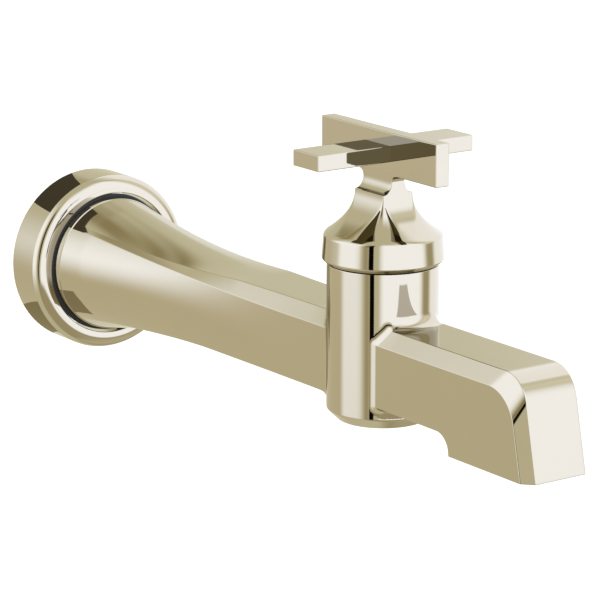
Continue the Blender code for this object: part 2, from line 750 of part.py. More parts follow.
def front_spout():
    """Spout whose upright sections turn down to lie flat at the outlet."""
    side_height = SPOUT_TOP - CHAMFER_DOWN
    root_end = AXIS_REACH + BARREL_RADIUS + ROOT_FILLET
    sections = []
    for reach in np.linspace(AXIS_REACH + BARREL_RADIUS / 2, root_end, 7):
        straight = (float(reach), SPOUT_TOP), (float(reach), side_height), (float(reach), SPOUT_UNDERSIDE)
        sections.append(spout_section(*straight))
    for front, side, under in zip(*spout_outlines(12)):
        sections.append(spout_section(front, side, under))
    spout = loft("front_spout", sections)
    cut(spout, barrel_cutter("spout_barrel_cutter"))
    way = (0, 0, OUTLET_PORT_HEIGHT)
    waterway = rod(
        "spout_waterway_cutter", WATERWAY_RADIUS, AXIS_REACH, AERATOR_REACH, way, FORWARD, FINE, CUTTERS
    )
    cut(spout, waterway)
    riser = [
        (0, OUTLET_PORT_HEIGHT),
        (OUTLET_RISER_RADIUS, OUTLET_PORT_HEIGHT),
        (OUTLET_RISER_RADIUS, OUTLET_BOTTOM + AERATOR_ROOM),
        (AERATOR_BORE, OUTLET_BOTTOM + AERATOR_ROOM),
        (AERATOR_BORE, OUTLET_BOTTOM - 5),
        (0, OUTLET_BOTTOM - 5),
    ]
    cut(spout, turned("outlet_riser_cutter", riser, (0, -AERATOR_REACH, 0), collection=CUTTERS))
    belong(spout, NICKEL, BODY)


def aerator():
    """Recessed aerator: housing, flow straightener, screen and washer, from the mouth up."""
    place = (0, -AERATOR_REACH, OUTLET_BOTTOM)
    outer = AERATOR_BORE - CLEARANCE
    inner = outer - HOUSING_WALL
    lip = 1.0
    bottom = AERATOR_RECESS
    profile = [
        (outer, bottom + HOUSING_HEIGHT),
        (outer, bottom),
        (inner - lip, bottom),
        (inner - lip, bottom + lip),
        (inner, bottom + lip),
        (inner, bottom + HOUSING_HEIGHT),
    ]
    housing = turned("aerator_housing", profile, place, closed=True)
    for i, angle in enumerate((0.0, 90.0)):
        slot = block(f"key_slot_cutter_{i}", (2 * outer + 2, 2.0, 1.2), place, CUTTERS)
        slot.matrix_world = slot.matrix_world @ Matrix.Rotation(math.radians(angle), 4, "Z")
        slot.matrix_world.translation.z = (OUTLET_BOTTOM + AERATOR_RECESS) * MM
        cut(housing, slot)
    belong(housing, PLASTIC, BODY)

    insert_radius = inner - CLEARANCE
    insert_bottom = bottom + lip + CLEARANCE
    insert_top = insert_bottom + STRAIGHTENER_HEIGHT
    insert = rod("flow_straightener", insert_radius, insert_bottom, insert_top, place, segments=32)
    for i, (x, y) in enumerate(hexagon_spots(STRAIGHTENER_PITCH, 2)):
        at = (x, y - AERATOR_REACH, OUTLET_BOTTOM)
        hole = rod(
            f"stream_cutter_{i}", STRAIGHTENER_HOLE, insert_bottom - 1, insert_top + 1, at,
            segments=6, collection=CUTTERS,
        )
        cut(insert, hole)
    belong(insert, PLASTIC, BODY)

    screen_bottom = insert_top + CLEARANCE
    screen = rod(
        "aerator_screen", insert_radius, screen_bottom, screen_bottom + SCREEN_THICKNESS, place, segments=32
    )
    for i, (x, y) in enumerate(hexagon_spots(STRAIGHTENER_PITCH * 1.3, 1)):
        at = (x, y - AERATOR_REACH, OUTLET_BOTTOM)
        hole = rod(
            f"screen_cutter_{i}", STRAIGHTENER_HOLE * 1.4, screen_bottom - 1,
            screen_bottom + SCREEN_THICKNESS + 1, at, segments=4, collection=CUTTERS,
        )
        cut(screen, hole)
    belong(screen, STEEL, BODY)

    washer_bottom = bottom + HOUSING_HEIGHT + CLEARANCE
    washer = ring(
        "aerator_washer", outer - WASHER_WIDTH, outer, washer_bottom, washer_bottom + WASHER_THICKNESS, place,
        segments=FINE,
    )
    belong(washer, RUBBER, BODY)


def hexagon_spots(pitch, rings):
    """Centres of a hexagonal pattern of holes with this many rings round the middle one."""
    spots = []
    for column in range(-rings, rings + 1):
        for row in range(-rings, rings + 1):
            if abs(column + row) <= rings:
                spots.append((pitch * (column + row / 2), pitch * row * math.sqrt(3) / 2))
    return spots


# ---------------------------------------------------------------- cartridge


def cartridge_shell():
    """Brass shell of the cartridge, with a window on each side for the water to leave."""
    ring_middle = CARTRIDGE_BORE - SEAL_GAP - SHELL_O_RING_WIRE
    groove_depth = SHELL_RADIUS - groove_floor(ring_middle, SHELL_O_RING_WIRE)
    profile = [(STEM_BORE, SHELL_TOP), (SHELL_NECK_RADIUS, SHELL_TOP)]
    profile += [(SHELL_NECK_RADIUS, SHELL_FLANGE_TOP), (NUT_RADIUS, SHELL_FLANGE_TOP)]
    profile += [(NUT_RADIUS, SHELL_FLANGE_BOTTOM), (SHELL_RADIUS, SHELL_FLANGE_BOTTOM)]
    profile += groove(SHELL_RADIUS, groove_depth, SHELL_O_RING_HEIGHT, SHELL_O_RING_WIRE + SEAL_GAP)
    profile += [
        (SHELL_RADIUS, SHELL_BOTTOM),
        (DISC_CHAMBER_RADIUS, SHELL_BOTTOM),
        (DISC_CHAMBER_RADIUS, DISC_CHAMBER_TOP),
        (STEM_BORE, DISC_CHAMBER_TOP),
    ]
    shell = turned("cartridge_shell", profile, on_valve(), segments=32, closed=True)
    bottom = MOVING_DISC_BOTTOM + CLEARANCE
    top = DISC_CHAMBER_TOP - 1.0
    window = block(
        "window_cutter",
        (WINDOW_WIDTH, 2 * SHELL_RADIUS + 4, top - bottom),
        on_valve((top + bottom) / 2),
        CUTTERS,
    )
    cut(shell, window)
    belong(shell, BRASS, BODY)
    shell_ring = o_ring(
        "cartridge_o_ring", ring_middle, SHELL_O_RING_WIRE, on_valve(SHELL_O_RING_HEIGHT)
    )
    belong(shell_ring, RUBBER, BODY)
    seal = ring(
        "cartridge_seat_seal",
        SEAL_BORE,
        SHELL_RADIUS - CLEARANCE,
        SEAL_BOTTOM,
        SEAL_BOTTOM + SEAL_THICKNESS,
        on_valve(),
        segments=32,
    )
    belong(seal, RUBBER, BODY)


def disc(name, bottom, port_angle, parent):
    """Ceramic disc with two round ports on a line at this angle from X."""
    made = rod(name, DISC_RADIUS, bottom, bottom + DISC_THICKNESS, on_valve(), segments=32)
    for i, side in enumerate((1, -1)):
        angle = math.radians(port_angle)
        x = side * DISC_PORT_OFFSET * math.cos(angle)
        y = side * DISC_PORT_OFFSET * math.sin(angle) - AXIS_REACH
        port = rod(
            f"{name}_port_cutter_{i}", DISC_PORT_RADIUS, bottom - 1, bottom + DISC_THICKNESS + 1, (x, y, 0),
            segments=16, collection=CUTTERS,
        )
        cut(made, port)
    return belong(made, CERAMIC, parent)


def turning_disc_and_stem():
    """The disc that turns, notched for the two legs of the stem's driving plate."""
    moving = disc("moving_disc", MOVING_DISC_BOTTOM, 90.0, HANDLE)
    notch_middle = DISC_RADIUS - NOTCH_DEPTH / 2
    for i, side in enumerate((1, -1)):
        at = (side * (notch_middle + 1.0), -AXIS_REACH, MOVING_DISC_BOTTOM + DISC_THICKNESS / 2)
        size = (NOTCH_DEPTH + 2.0, NOTCH_WIDTH, DISC_THICKNESS + 2)
        cut(moving, block(f"notch_cutter_{i}", size, at, CUTTERS))

    driver_radius = DISC_RADIUS - 0.1
    ring_middle = STEM_BORE - SEAL_GAP - STEM_O_RING_WIRE
    depth = STEM_RADIUS - groove_floor(ring_middle, STEM_O_RING_WIRE)
    profile = [(0, STEM_TOP), (STEM_RADIUS, STEM_TOP)]
    snap_middle = SNAP_RING_BOTTOM + SNAP_RING_THICKNESS / 2
    snap_half = SNAP_RING_THICKNESS / 2 + SEAL_GAP
    profile += groove(STEM_RADIUS, STEM_RADIUS - SNAP_GROOVE_RADIUS, snap_middle, snap_half)
    for height in reversed(STEM_O_RINGS):
        profile += groove(STEM_RADIUS, depth, height, STEM_O_RING_WIRE + SEAL_GAP)
    profile += [
        (STEM_RADIUS, DRIVER_TOP),
        (driver_radius, DRIVER_TOP),
        (driver_radius, DRIVER_BOTTOM),
        (0, DRIVER_BOTTOM),
    ]
    stem = turned("cartridge_stem", profile, on_valve(), segments=FINE)
    leg_bottom = MOVING_DISC_BOTTOM + CLEARANCE
    leg_top = DRIVER_BOTTOM + 1.0
    leg_inner = DISC_RADIUS - NOTCH_DEPTH + CLEARANCE
    leg_outer = driver_radius - 0.2
    for i, side in enumerate((1, -1)):
        at = (side * (leg_inner + leg_outer) / 2, -AXIS_REACH, (leg_bottom + leg_top) / 2)
        size = (leg_outer - leg_inner, NOTCH_WIDTH - 2 * CLEARANCE, leg_top - leg_bottom)
        join(stem, block(f"stem_leg_{i}", size, at, CUTTERS))
    join(stem, spline())
    belong(stem, BRASS, HANDLE)

    for name, height in zip(("lower", "upper"), STEM_O_RINGS):
        made = o_ring(f"stem_o_ring_{name}", ring_middle, STEM_O_RING_WIRE, on_valve(height))
        belong(made, RUBBER, HANDLE)
    snap = ring(
        "stem_snap_ring",
        SNAP_GROOVE_RADIUS + SEAL_GAP,
        SNAP_RING_RADIUS,
        SNAP_RING_BOTTOM,
        SNAP_RING_BOTTOM + SNAP_RING_THICKNESS,
        on_valve(),
        segments=FINE,
    )
    mouth = block(
        "snap_ring_cutter",
        (2.4, SNAP_RING_RADIUS + 2, SNAP_RING_THICKNESS + 1),
        (0, -AXIS_REACH + (SNAP_RING_RADIUS + 2) / 2, SNAP_RING_BOTTOM + SNAP_RING_THICKNESS / 2),
        CUTTERS,
    )
    cut(snap, mouth)
    belong(snap, STEEL, HANDLE)


def spline():
    """Toothed top of the stem, overlapping the plain part below it."""
    sections = []
    for height in (STEM_TOP - 1.5, SPLINE_TOP):
        section = []
        for i in range(2 * SPLINE_TEETH):
            radius = SPLINE_RADIUS - (SPLINE_TOOTH if i % 2 else 0.0)
            angle = math.pi * i / SPLINE_TEETH
            section.append((radius * math.cos(angle), radius * math.sin(angle), height))
        sections.append(section)
    return loft("stem_spline", sections, on_valve(), CUTTERS)


def bonnet_nut():
    """Nut that threads into the barrel and holds the cartridge down."""
    profile = [
        (NUT_RADIUS, NUT_BODY_TOP),
        (NUT_RADIUS, NUT_BOTTOM),
        (NUT_INNER, NUT_BOTTOM),
        (NUT_INNER, NUT_BODY_TOP),
    ]
    nut = turned("bonnet_nut", profile, on_valve(), segments=32, closed=True)
    hexagon = rod(
        "nut_hexagon", NUT_HEX_FLATS / math.sqrt(3), NUT_BODY_TOP - 1.5, NUT_TOP, on_valve(),
        segments=6, collection=CUTTERS,
    )
    join(nut, hexagon)
    bore = rod(
        "nut_bore_cutter", NUT_INNER, NUT_BOTTOM - 2, NUT_TOP + 2, on_valve(), segments=32, collection=CUTTERS
    )
    cut(nut, bore)
    belong(nut, BRASS, BODY)


# ---------------------------------------------------------------- handle


def rounded_rectangle(across, along, corner, height, per_corner=7):
    """A section with four round corners. It's a circle where all three sizes are equal."""
    points = []
    for quarter in range(4):
        for step in range(per_corner):
            angle = math.radians(90 * (quarter + (step + 0.5) / per_corner))
            x_side = 1 if quarter in (0, 3) else -1
            y_side = 1 if quarter in (0, 1) else -1
            x = x_side * (across - corner) + corner * math.cos(angle)
            y = y_side * (along - corner) + corner * math.sin(angle)
            points.append((x, y, height))
    return points


def hub_sections():
    """Collar, bell that turns from round to square, and waisted neck, from the bottom up."""
    sections = []
    for radius, height in (
        (COLLAR_RADIUS - COLLAR_CHAMFER, COLLAR_BOTTOM),
        (COLLAR_RADIUS, COLLAR_BOTTOM + COLLAR_CHAMFER),
        (COLLAR_TOP_RADIUS, COLLAR_TOP),
        (COLLAR_TOP_RADIUS - 0.25, COLLAR_TOP + 0.55),
    ):
        sections.append(rounded_rectangle(radius, radius, radius, height))
    for share in np.linspace(1, 0, 9):
        grown = float(share) ** BELL_POWER
        across = blend(BELL_TOP_ACROSS, BELL_BASE_RADIUS, grown)
        along = blend(BELL_TOP_ALONG, BELL_BASE_RADIUS, grown)
        corner = blend(BAR_EDGE, BELL_BASE_RADIUS, grown)
        height = blend(BELL_TOP, BELL_BASE, float(share))
        sections.append(rounded_rectangle(across, along, corner, height))
    neck_top = STANDING_BAR_BOTTOM - BAR_SEAT_GAP
    web = STANDING_BAR_THICKNESS / 2
    for angle in np.linspace(25, 90, 3):
        turn = math.radians(float(angle))
        across = BELL_TOP_ACROSS - (BELL_TOP_ACROSS - web) * math.sin(turn)
        height = NECK_WAIST - (NECK_WAIST - BELL_TOP) * math.cos(turn)
        sections.append(rounded_rectangle(across, BELL_TOP_ALONG, BAR_EDGE, height))
    reach_out = neck_top - NECK_WAIST
    for angle in (30, 60, 90):
        turn = math.radians(angle)
        along = BELL_TOP_ALONG + reach_out * (1 - math.cos(turn))
        height = NECK_WAIST + reach_out * math.sin(turn)
        sections.append(rounded_rectangle(web, along, BAR_EDGE, height))
    return sections


def handle_hub():
    """Hub that covers the bonnet nut and sits on the splined sleeve."""
    hub = loft("handle_hub", hub_sections(), on_valve())
    glide_room = GLIDE_RING_BOTTOM + GLIDE_RING_THICKNESS + CLEARANCE
    profile = [
        (0, SLEEVE_TOP + CLEARANCE),
        (SLEEVE_RADIUS + CLEARANCE, SLEEVE_TOP + CLEARANCE),
        (SLEEVE_RADIUS + CLEARANCE, RECESS_TOP),
        (NUT_BORE, RECESS_TOP),
        (NUT_BORE, glide_room),
        (GLIDE_RING_RADIUS + CLEARANCE, glide_room),
        (GLIDE_RING_RADIUS + CLEARANCE, COLLAR_BOTTOM - 3),
        (0, COLLAR_BOTTOM - 3),
    ]
    cut(hub, turned("hub_recess_cutter", profile, on_valve(), collection=CUTTERS))
    screw_at = on_valve(HANDLE_SCREW_HEIGHT)
    hole_radius = HANDLE_SCREW_RADIUS + CLEARANCE
    hole = rod(
        "handle_screw_cutter", hole_radius, -COLLAR_RADIUS - 5, -SLEEVE_RADIUS + 1, screw_at, FORWARD,
        collection=CUTTERS,
    )
    cut(hub, hole)
    belong(hub, NICKEL, HANDLE)

    tip = (0, -AXIS_REACH + SLEEVE_RADIUS + CLEARANCE, HANDLE_SCREW_HEIGHT)
    screw = grub_screw("handle_set_screw", HANDLE_SCREW_RADIUS, HANDLE_SCREW_LENGTH, tip, (0, -1, 0))
    belong_again(screw, HANDLE)
    sleeve = ring(
        "spline_sleeve", SLEEVE_BORE, SLEEVE_RADIUS, SLEEVE_BOTTOM, SLEEVE_TOP, on_valve(), segments=FINE
    )
    belong(sleeve, BRASS, HANDLE)


def belong_again(target, parent):
    """Move a piece from one body's empty to the other's, where it stands."""
    world = target.matrix_world.copy()
    target.parent = parent
    target.matrix_parent_inverse = Matrix.Translation(-parent.location)
    target.matrix_world = world


def handle_bars():
    """The cross: a plate on edge along the spout, and a flat plate that passes through it."""
    standing = block(
        "standing_bar",
        (STANDING_BAR_THICKNESS, BAR_LENGTH, STANDING_BAR_HEIGHT),
        on_valve(BAR_MIDDLE),
    )
    soften(standing, BAR_EDGE)
    window = block(
        "bar_window_cutter",
        (
            STANDING_BAR_THICKNESS + 4,
            FLAT_BAR_WIDTH + 2 * BAR_SEAT_GAP,
            FLAT_BAR_THICKNESS + 2 * BAR_SEAT_GAP,
        ),
        on_valve(BAR_MIDDLE),
        CUTTERS,
    )
    cut(standing, window)
    belong(standing, NICKEL, HANDLE)
    flat = block("flat_bar", (BAR_LENGTH, FLAT_BAR_WIDTH, FLAT_BAR_THICKNESS), on_valve(BAR_MIDDLE))
    soften(flat, BAR_EDGE)
    belong(flat, NICKEL, HANDLE)


def glide_ring():
    """Plastic ring that the handle turns on, seen as a dark seam."""
    made = ring(
        "handle_glide_ring",
        GLIDE_RING_BORE,
        GLIDE_RING_RADIUS,
        GLIDE_RING_BOTTOM,
        GLIDE_RING_BOTTOM + GLIDE_RING_THICKNESS,
        on_valve(),
    )
    belong(made, GLIDE, BODY)


wall_flange()
inlet_shank()
rear_arm()
valve_barrel()
front_spout()
aerator()
cartridge_shell()
disc("fixed_disc", SHELL_BOTTOM, 0.0, BODY)
turning_disc_and_stem()
bonnet_nut()
glide_ring()
handle_hub()
handle_bars()
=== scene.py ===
"""Looks of a wall mounted bath faucet with one quarter-turn cross handle.

The file is laid out as a Blender add-on and is run as a script. Frame, in metres: the origin is the
centre of the flange's back face on the wall, +Z is up and the spout points along -Y. "Reach" is the
distance out from the wall, so a point at reach r has y = -r. Shapes are worked out in millimetres.
"""

import math

import bpy
import numpy as np
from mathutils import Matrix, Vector


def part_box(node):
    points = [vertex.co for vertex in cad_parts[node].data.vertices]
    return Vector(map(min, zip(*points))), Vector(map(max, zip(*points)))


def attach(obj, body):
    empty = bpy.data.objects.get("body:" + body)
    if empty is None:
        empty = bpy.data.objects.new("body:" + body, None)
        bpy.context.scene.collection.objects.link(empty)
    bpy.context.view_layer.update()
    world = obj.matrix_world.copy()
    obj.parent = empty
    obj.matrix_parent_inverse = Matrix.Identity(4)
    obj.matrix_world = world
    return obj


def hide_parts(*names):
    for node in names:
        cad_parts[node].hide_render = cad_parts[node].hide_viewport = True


bl_info = {
    "name": "Wall Bath Faucet",
    "version": (1, 0, 0),
    "blender": (4, 5, 0),
    "location": "3D View > Sidebar > Faucet",
    "description": "Polished nickel pieces, finishes and studio for a wall mounted bath faucet",
    "category": "Object",
}

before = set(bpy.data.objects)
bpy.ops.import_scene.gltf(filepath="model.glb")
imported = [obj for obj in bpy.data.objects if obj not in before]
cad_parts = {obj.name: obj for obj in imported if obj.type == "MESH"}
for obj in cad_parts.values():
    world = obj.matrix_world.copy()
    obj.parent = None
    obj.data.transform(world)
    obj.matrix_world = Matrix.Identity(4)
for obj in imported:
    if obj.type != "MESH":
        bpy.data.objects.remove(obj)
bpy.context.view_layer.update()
MM = 0.001


def low(node):
    """Lowest corner of a CAD node, in millimetres."""
    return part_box(node)[0] / MM


def high(node):
    """Highest corner of a CAD node, in millimetres."""
    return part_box(node)[1] / MM


# Places that come from the frame
AXIS_REACH = -(low("standing_bar").y + high("standing_bar").y) / 2
TIP_REACH = -low("front_spout").y
OUTLET_BOTTOM = low("front_spout").z
BARREL_TOP = high("valve_barrel").z
BARREL_BOTTOM = low("valve_barrel").z
COLLAR_BOTTOM = low("handle_hub").z
AERATOR_REACH = -(low("aerator_housing").y + high("aerator_housing").y) / 2
ARM_BACK_REACH = -high("rear_arm").y
FLANGE_FRONT_REACH = -low("wall_flange").y
GRIP_RING_REACH = -(low("flange_grip_ring").y + high("flange_grip_ring").y) / 2


# ---------------------------------------------------------------- settings


def length(name, description, millimetres):
    return bpy.props.FloatProperty(
        name=name, description=description, default=millimetres * MM, min=0.0, unit="LENGTH", precision=5
    )


def share(name, description, value, top=1.0):
    return bpy.props.FloatProperty(name=name, description=description, default=value, min=0.0, max=top)


def colour(name, description, value):
    return bpy.props.FloatVectorProperty(
        name=name, description=description, default=value, size=3, subtype="COLOR", min=0.0, max=1.0
    )


def angle(name, description, degrees):
    return bpy.props.FloatProperty(
        name=name, description=description, default=math.radians(degrees), subtype="ANGLE"
    )


class FaucetShape(bpy.types.PropertyGroup):
    """Sizes of the polished pieces that a user may change."""

    spout_width: length("Spout width", "Across the square part of the arm and the spout", 27.2)
    spout_top: length("Spout top", "Height of the spout's flat top above the inlet's axis", 15.1)
    chamfer_across: length("Chamfer across", "Width of the long chamfers, seen from above", 3.5)
    chamfer_down: length("Chamfer down", "Height of the long chamfers, seen from the side", 5.2)
    arm_radius: length("Trumpet radius", "Radius of the arm's round end at the wall", 25.1)
    barrel_radius: length("Barrel radius", "Radius of the upright valve barrel", 19.0)
    root_fillet: length("Root fillet", "Radius where the arm and the spout run into the barrel", 4.2)
    flange_radius: length("Flange radius", "Outer radius of the wall flange", 33.4)
    crisp_edge: length("Crisp edge", "Rounding of the fine edges", 0.3)


class FaucetFinish(bpy.types.PropertyGroup):
    """Colours and gloss of the materials."""

    nickel: colour("Nickel", "Colour of the polished nickel", (0.62, 0.565, 0.44))
    nickel_roughness: share("Nickel roughness", "Roughness of the clean polish", 0.035)
    smudges: share("Smudges", "How much the polish varies from place to place", 0.03)
    brass: colour("Brass", "Colour of the turned brass", (0.72, 0.50, 0.22))
    steel: colour("Steel", "Colour of the screws and rings", (0.60, 0.60, 0.58))
    rubber: colour("Rubber", "Colour of the seals", (0.009, 0.009, 0.009))
    foam: colour("Foam", "Colour of the flange's gasket", (0.10, 0.10, 0.105))
    plastic: colour("Plastic", "Colour of the aerator", (0.78, 0.78, 0.75))
    ceramic: colour("Ceramic", "Colour of the valve's discs", (0.86, 0.84, 0.78))


class FaucetStudio(bpy.types.PropertyGroup):
    """Camera and surroundings."""

    azimuth: angle("Camera azimuth", "Turn of the camera round the faucet, from in front", -35.12)
    elevation: angle("Camera elevation", "Height of the camera above the horizon", 14.02)
    distance: length("Camera distance", "From the camera to the point it looks at", 1154.2)
    lens: bpy.props.FloatProperty(name="Lens", description="Focal length in millimetres", default=187.17)
    floor_drop: length("Floor drop", "From the inlet's axis down to the floor", 260.0)


# ---------------------------------------------------------------- making meshes


def outward_faces(points, faces):
    """The faces, turned over if they enclose a negative volume."""
    volume = 0.0
    for corners in faces:
        fixed = points[corners[:, 0]]
        for k in range(1, corners.shape[1] - 1):
            cross = np.cross(points[corners[:, k]] - fixed, points[corners[:, k + 1]] - fixed)
            volume += float((fixed * cross).sum())
    return [corners[:, ::-1] for corners in faces] if volume < 0 else faces


def piece_from(name, points, faces, sharp=40.0):
    """A smooth-shaded mesh object from points in millimetres and arrays of faces."""
    faces = outward_faces(points, faces)
    mesh = bpy.data.meshes.new(name)
    polygons = [polygon for corners in faces for polygon in corners.tolist()]
    mesh.from_pydata((points * MM).tolist(), [], polygons)
    mesh.shade_smooth()
    mesh.set_sharp_from_angle(angle=math.radians(sharp))
    made = bpy.data.objects.new(name, mesh)
    bpy.context.scene.collection.objects.link(made)
    return made


def closed_tube(name, grid, sharp=40.0):
    """A solid from a grid of points (rows, columns, xyz): columns join round, and each end is closed to the
    mean of its row."""
    rows, columns = grid.shape[:2]
    index = np.arange(rows * columns).reshape(rows, columns)
    after = np.roll(index, -1, axis=1)
    quads = np.stack([index[:-1], after[:-1], after[1:], index[1:]], axis=-1).reshape(-1, 4)
    first, last = rows * columns, rows * columns + 1
    start = np.stack([after[0], index[0], np.full(columns, first)], axis=-1)
    end = np.stack([index[-1], after[-1], np.full(columns, last)], axis=-1)
    points = np.vstack([grid.reshape(-1, 3), grid[0].mean(axis=0), grid[-1].mean(axis=0)])
    return piece_from(name, points, [quads, start, end], sharp)


def closed_ring(name, grid, sharp=40.0):
    """A ring-shaped solid from a grid whose rows and columns both join round."""
    rows, columns = grid.shape[:2]
    index = np.arange(rows * columns).reshape(rows, columns)
    after = np.roll(index, -1, axis=1)
    below, below_after = np.roll(index, -1, axis=0), np.roll(after, -1, axis=0)
    quads = np.stack([index, after, below_after, below], axis=-1).reshape(-1, 4)
    return piece_from(name, grid.reshape(-1, 3), [quads], sharp)


def turned(profile, columns):
    """Grid of a turned surface: x = r cos t, y = r sin t, z = h for each profile point (r, h) and angle t."""
    turn = np.linspace(0, 2 * math.pi, columns, endpoint=False)
    radius, height = profile[:, 0, None], profile[:, 1, None]
    return np.stack([radius * np.cos(turn), radius * np.sin(turn), height + 0 * turn], axis=-1)


def facing_out(grid):
    """Turns a grid's own +Z to point out from the wall: (x, y, z) goes to (x, -z, y)."""
    return np.stack([grid[..., 0], -grid[..., 2], grid[..., 1]], axis=-1)


def on_valve(grid):
    """Moves a grid that stands on the origin to the valve's axis."""
    return grid + np.array([0.0, -AXIS_REACH, 0.0])


def eased(first, middle, last, steps):
    """Quadratic Bezier curve (1-t)^2 a + 2t(1-t) b + t^2 c, with t as a new leading axis."""
    t = np.linspace(0, 1, steps).reshape((-1,) + (1,) * np.ndim(first))
    return (1 - t) ** 2 * first + 2 * t * (1 - t) * middle + t**2 * last


def profile(corners, steps=7):
    """Profile through corners (radius, height, rounding). A rounded corner is a Bezier curve whose arms are
    as long as the rounding, with one more point just outside each end to keep the flats flat."""
    places = np.array([corner[:2] for corner in corners], float)
    made = []
    for i, (_, _, rounding) in enumerate(corners):
        at = places[i]
        if rounding == 0 or i in (0, len(corners) - 1):
            made.append(at[None])
            continue
        back, ahead = places[i - 1] - at, places[i + 1] - at
        back, ahead = back / np.linalg.norm(back), ahead / np.linalg.norm(ahead)
        curve = eased(at + back * rounding, at, at + ahead * rounding, steps)
        made += [(at + back * rounding * 1.2)[None], curve, (at + ahead * rounding * 1.2)[None]]
    return np.vstack(made)


def side_steps(count, edge=0.02):
    """Shares along a side, with one extra near each end to keep a flat side flat up to its edges."""
    inner = np.linspace(edge, 1 - edge, count)
    return np.concatenate([[0.0], inner, [1.0]])


def outlines(corners, bulges, trims, counts, corner_steps=7):
    """Closed outlines, one per row, from corners (rows, n, 2) that run clockwise. Side i is a circular arc
    that stands off its chord by its bulge: mid + unit c/2 sin(p)/sin(h) + outward c/2 (cos(p)-cos(h))/sin(h),
    where h is half the arc's angle, c the chord and p runs from -h to h. Each corner is eased over its
    trim."""
    following = np.roll(corners, -1, axis=1)
    along = following - corners
    chord = np.linalg.norm(along, axis=2)
    unit = along / chord[..., None]
    outward = np.stack([-unit[..., 1], unit[..., 0]], axis=2)
    half = np.maximum(2 * np.arctan2(2 * bulges, chord), 1e-4)
    sides = []
    number = corners.shape[1]
    for i in range(number):
        start = trims[i] / chord[:, i]
        end = 1 - trims[(i + 1) % number] / chord[:, i]
        along_side = start[:, None] + (end - start)[:, None] * side_steps(counts[i])[None]
        bend = half[:, i, None] * (2 * along_side - 1)
        wide, deep = np.sin(half[:, i, None]), np.cos(half[:, i, None])
        forward = (chord[:, i, None] / 2 * np.sin(bend) / wide)[..., None] * unit[:, i, None]
        away = (chord[:, i, None] / 2 * (np.cos(bend) - deep) / wide)[..., None] * outward[:, i, None]
        sides.append((corners[:, i] + following[:, i])[:, None] / 2 + forward + away)
    loop = []
    for i in range(number):
        after = sides[(i + 1) % number]
        curve = eased(sides[i][:, -1], following[:, i], after[:, 0], corner_steps)
        loop += [sides[i], np.moveaxis(curve[1:-1], 0, 1)]
    return np.concatenate(loop, axis=1)


def outline_normals(outline):
    """Outward unit normals of one clockwise outline (columns, 2)."""
    tangent = np.roll(outline, -1, axis=0) - np.roll(outline, 1, axis=0)
    normal = np.stack([-tangent[:, 1], tangent[:, 0]], axis=1)
    return normal / np.linalg.norm(normal, axis=1, keepdims=True)


def root_fillet(outline, barrel_radius, fillet, forward, steps=13):
    """Fillet that a ball of the fillet's radius sweeps as it rolls round the outline (x, z) against the
    barrel. The ball's middle is one fillet off the outline and barrel_radius + fillet from the valve's axis;
    each column is the arc on the ball from the prism's side to the barrel's. Forward is 1 for the spout and
    -1 for the arm."""
    normal = outline_normals(outline)
    middle_x = outline[:, 0] + fillet * normal[:, 0]
    middle_z = outline[:, 1] + fillet * normal[:, 1]
    middle_y = -forward * np.sqrt((barrel_radius + fillet) ** 2 - middle_x**2)
    middle = np.stack([middle_x, middle_y, middle_z], axis=1)
    flat = np.zeros(len(outline))
    to_prism = np.stack([-normal[:, 0], flat, -normal[:, 1]], axis=1)
    to_barrel = -np.stack([middle_x, middle_y, flat], axis=1) / (barrel_radius + fillet)
    whole = np.arccos((to_prism * to_barrel).sum(axis=1))[:, None]
    t = np.linspace(0, 1, steps)[:, None, None]
    arc = (np.sin((1 - t) * whole) * to_prism + np.sin(t * whole) * to_barrel) / np.sin(whole)
    rows = middle + fillet * arc
    inside = rows[-1] + to_barrel * 2.0
    return on_valve(np.concatenate([rows, inside[None]]))


# ---------------------------------------------------------------- shapes


TRUMPET_REACH = 20.0  # where the arm's round end starts to change shape
OUTLET_LENGTH = 40.6  # front to back along the outlet's level face


def flare(reach, span, power):
    """1 at the trumpet's round end and 0 a span further out: (1 - (reach - start) / span)^power."""
    return np.clip(1 - (reach - TRUMPET_REACH) / span, 0, 1) ** power


def blend(shape, round_value, part):
    return shape + (round_value - shape) * part


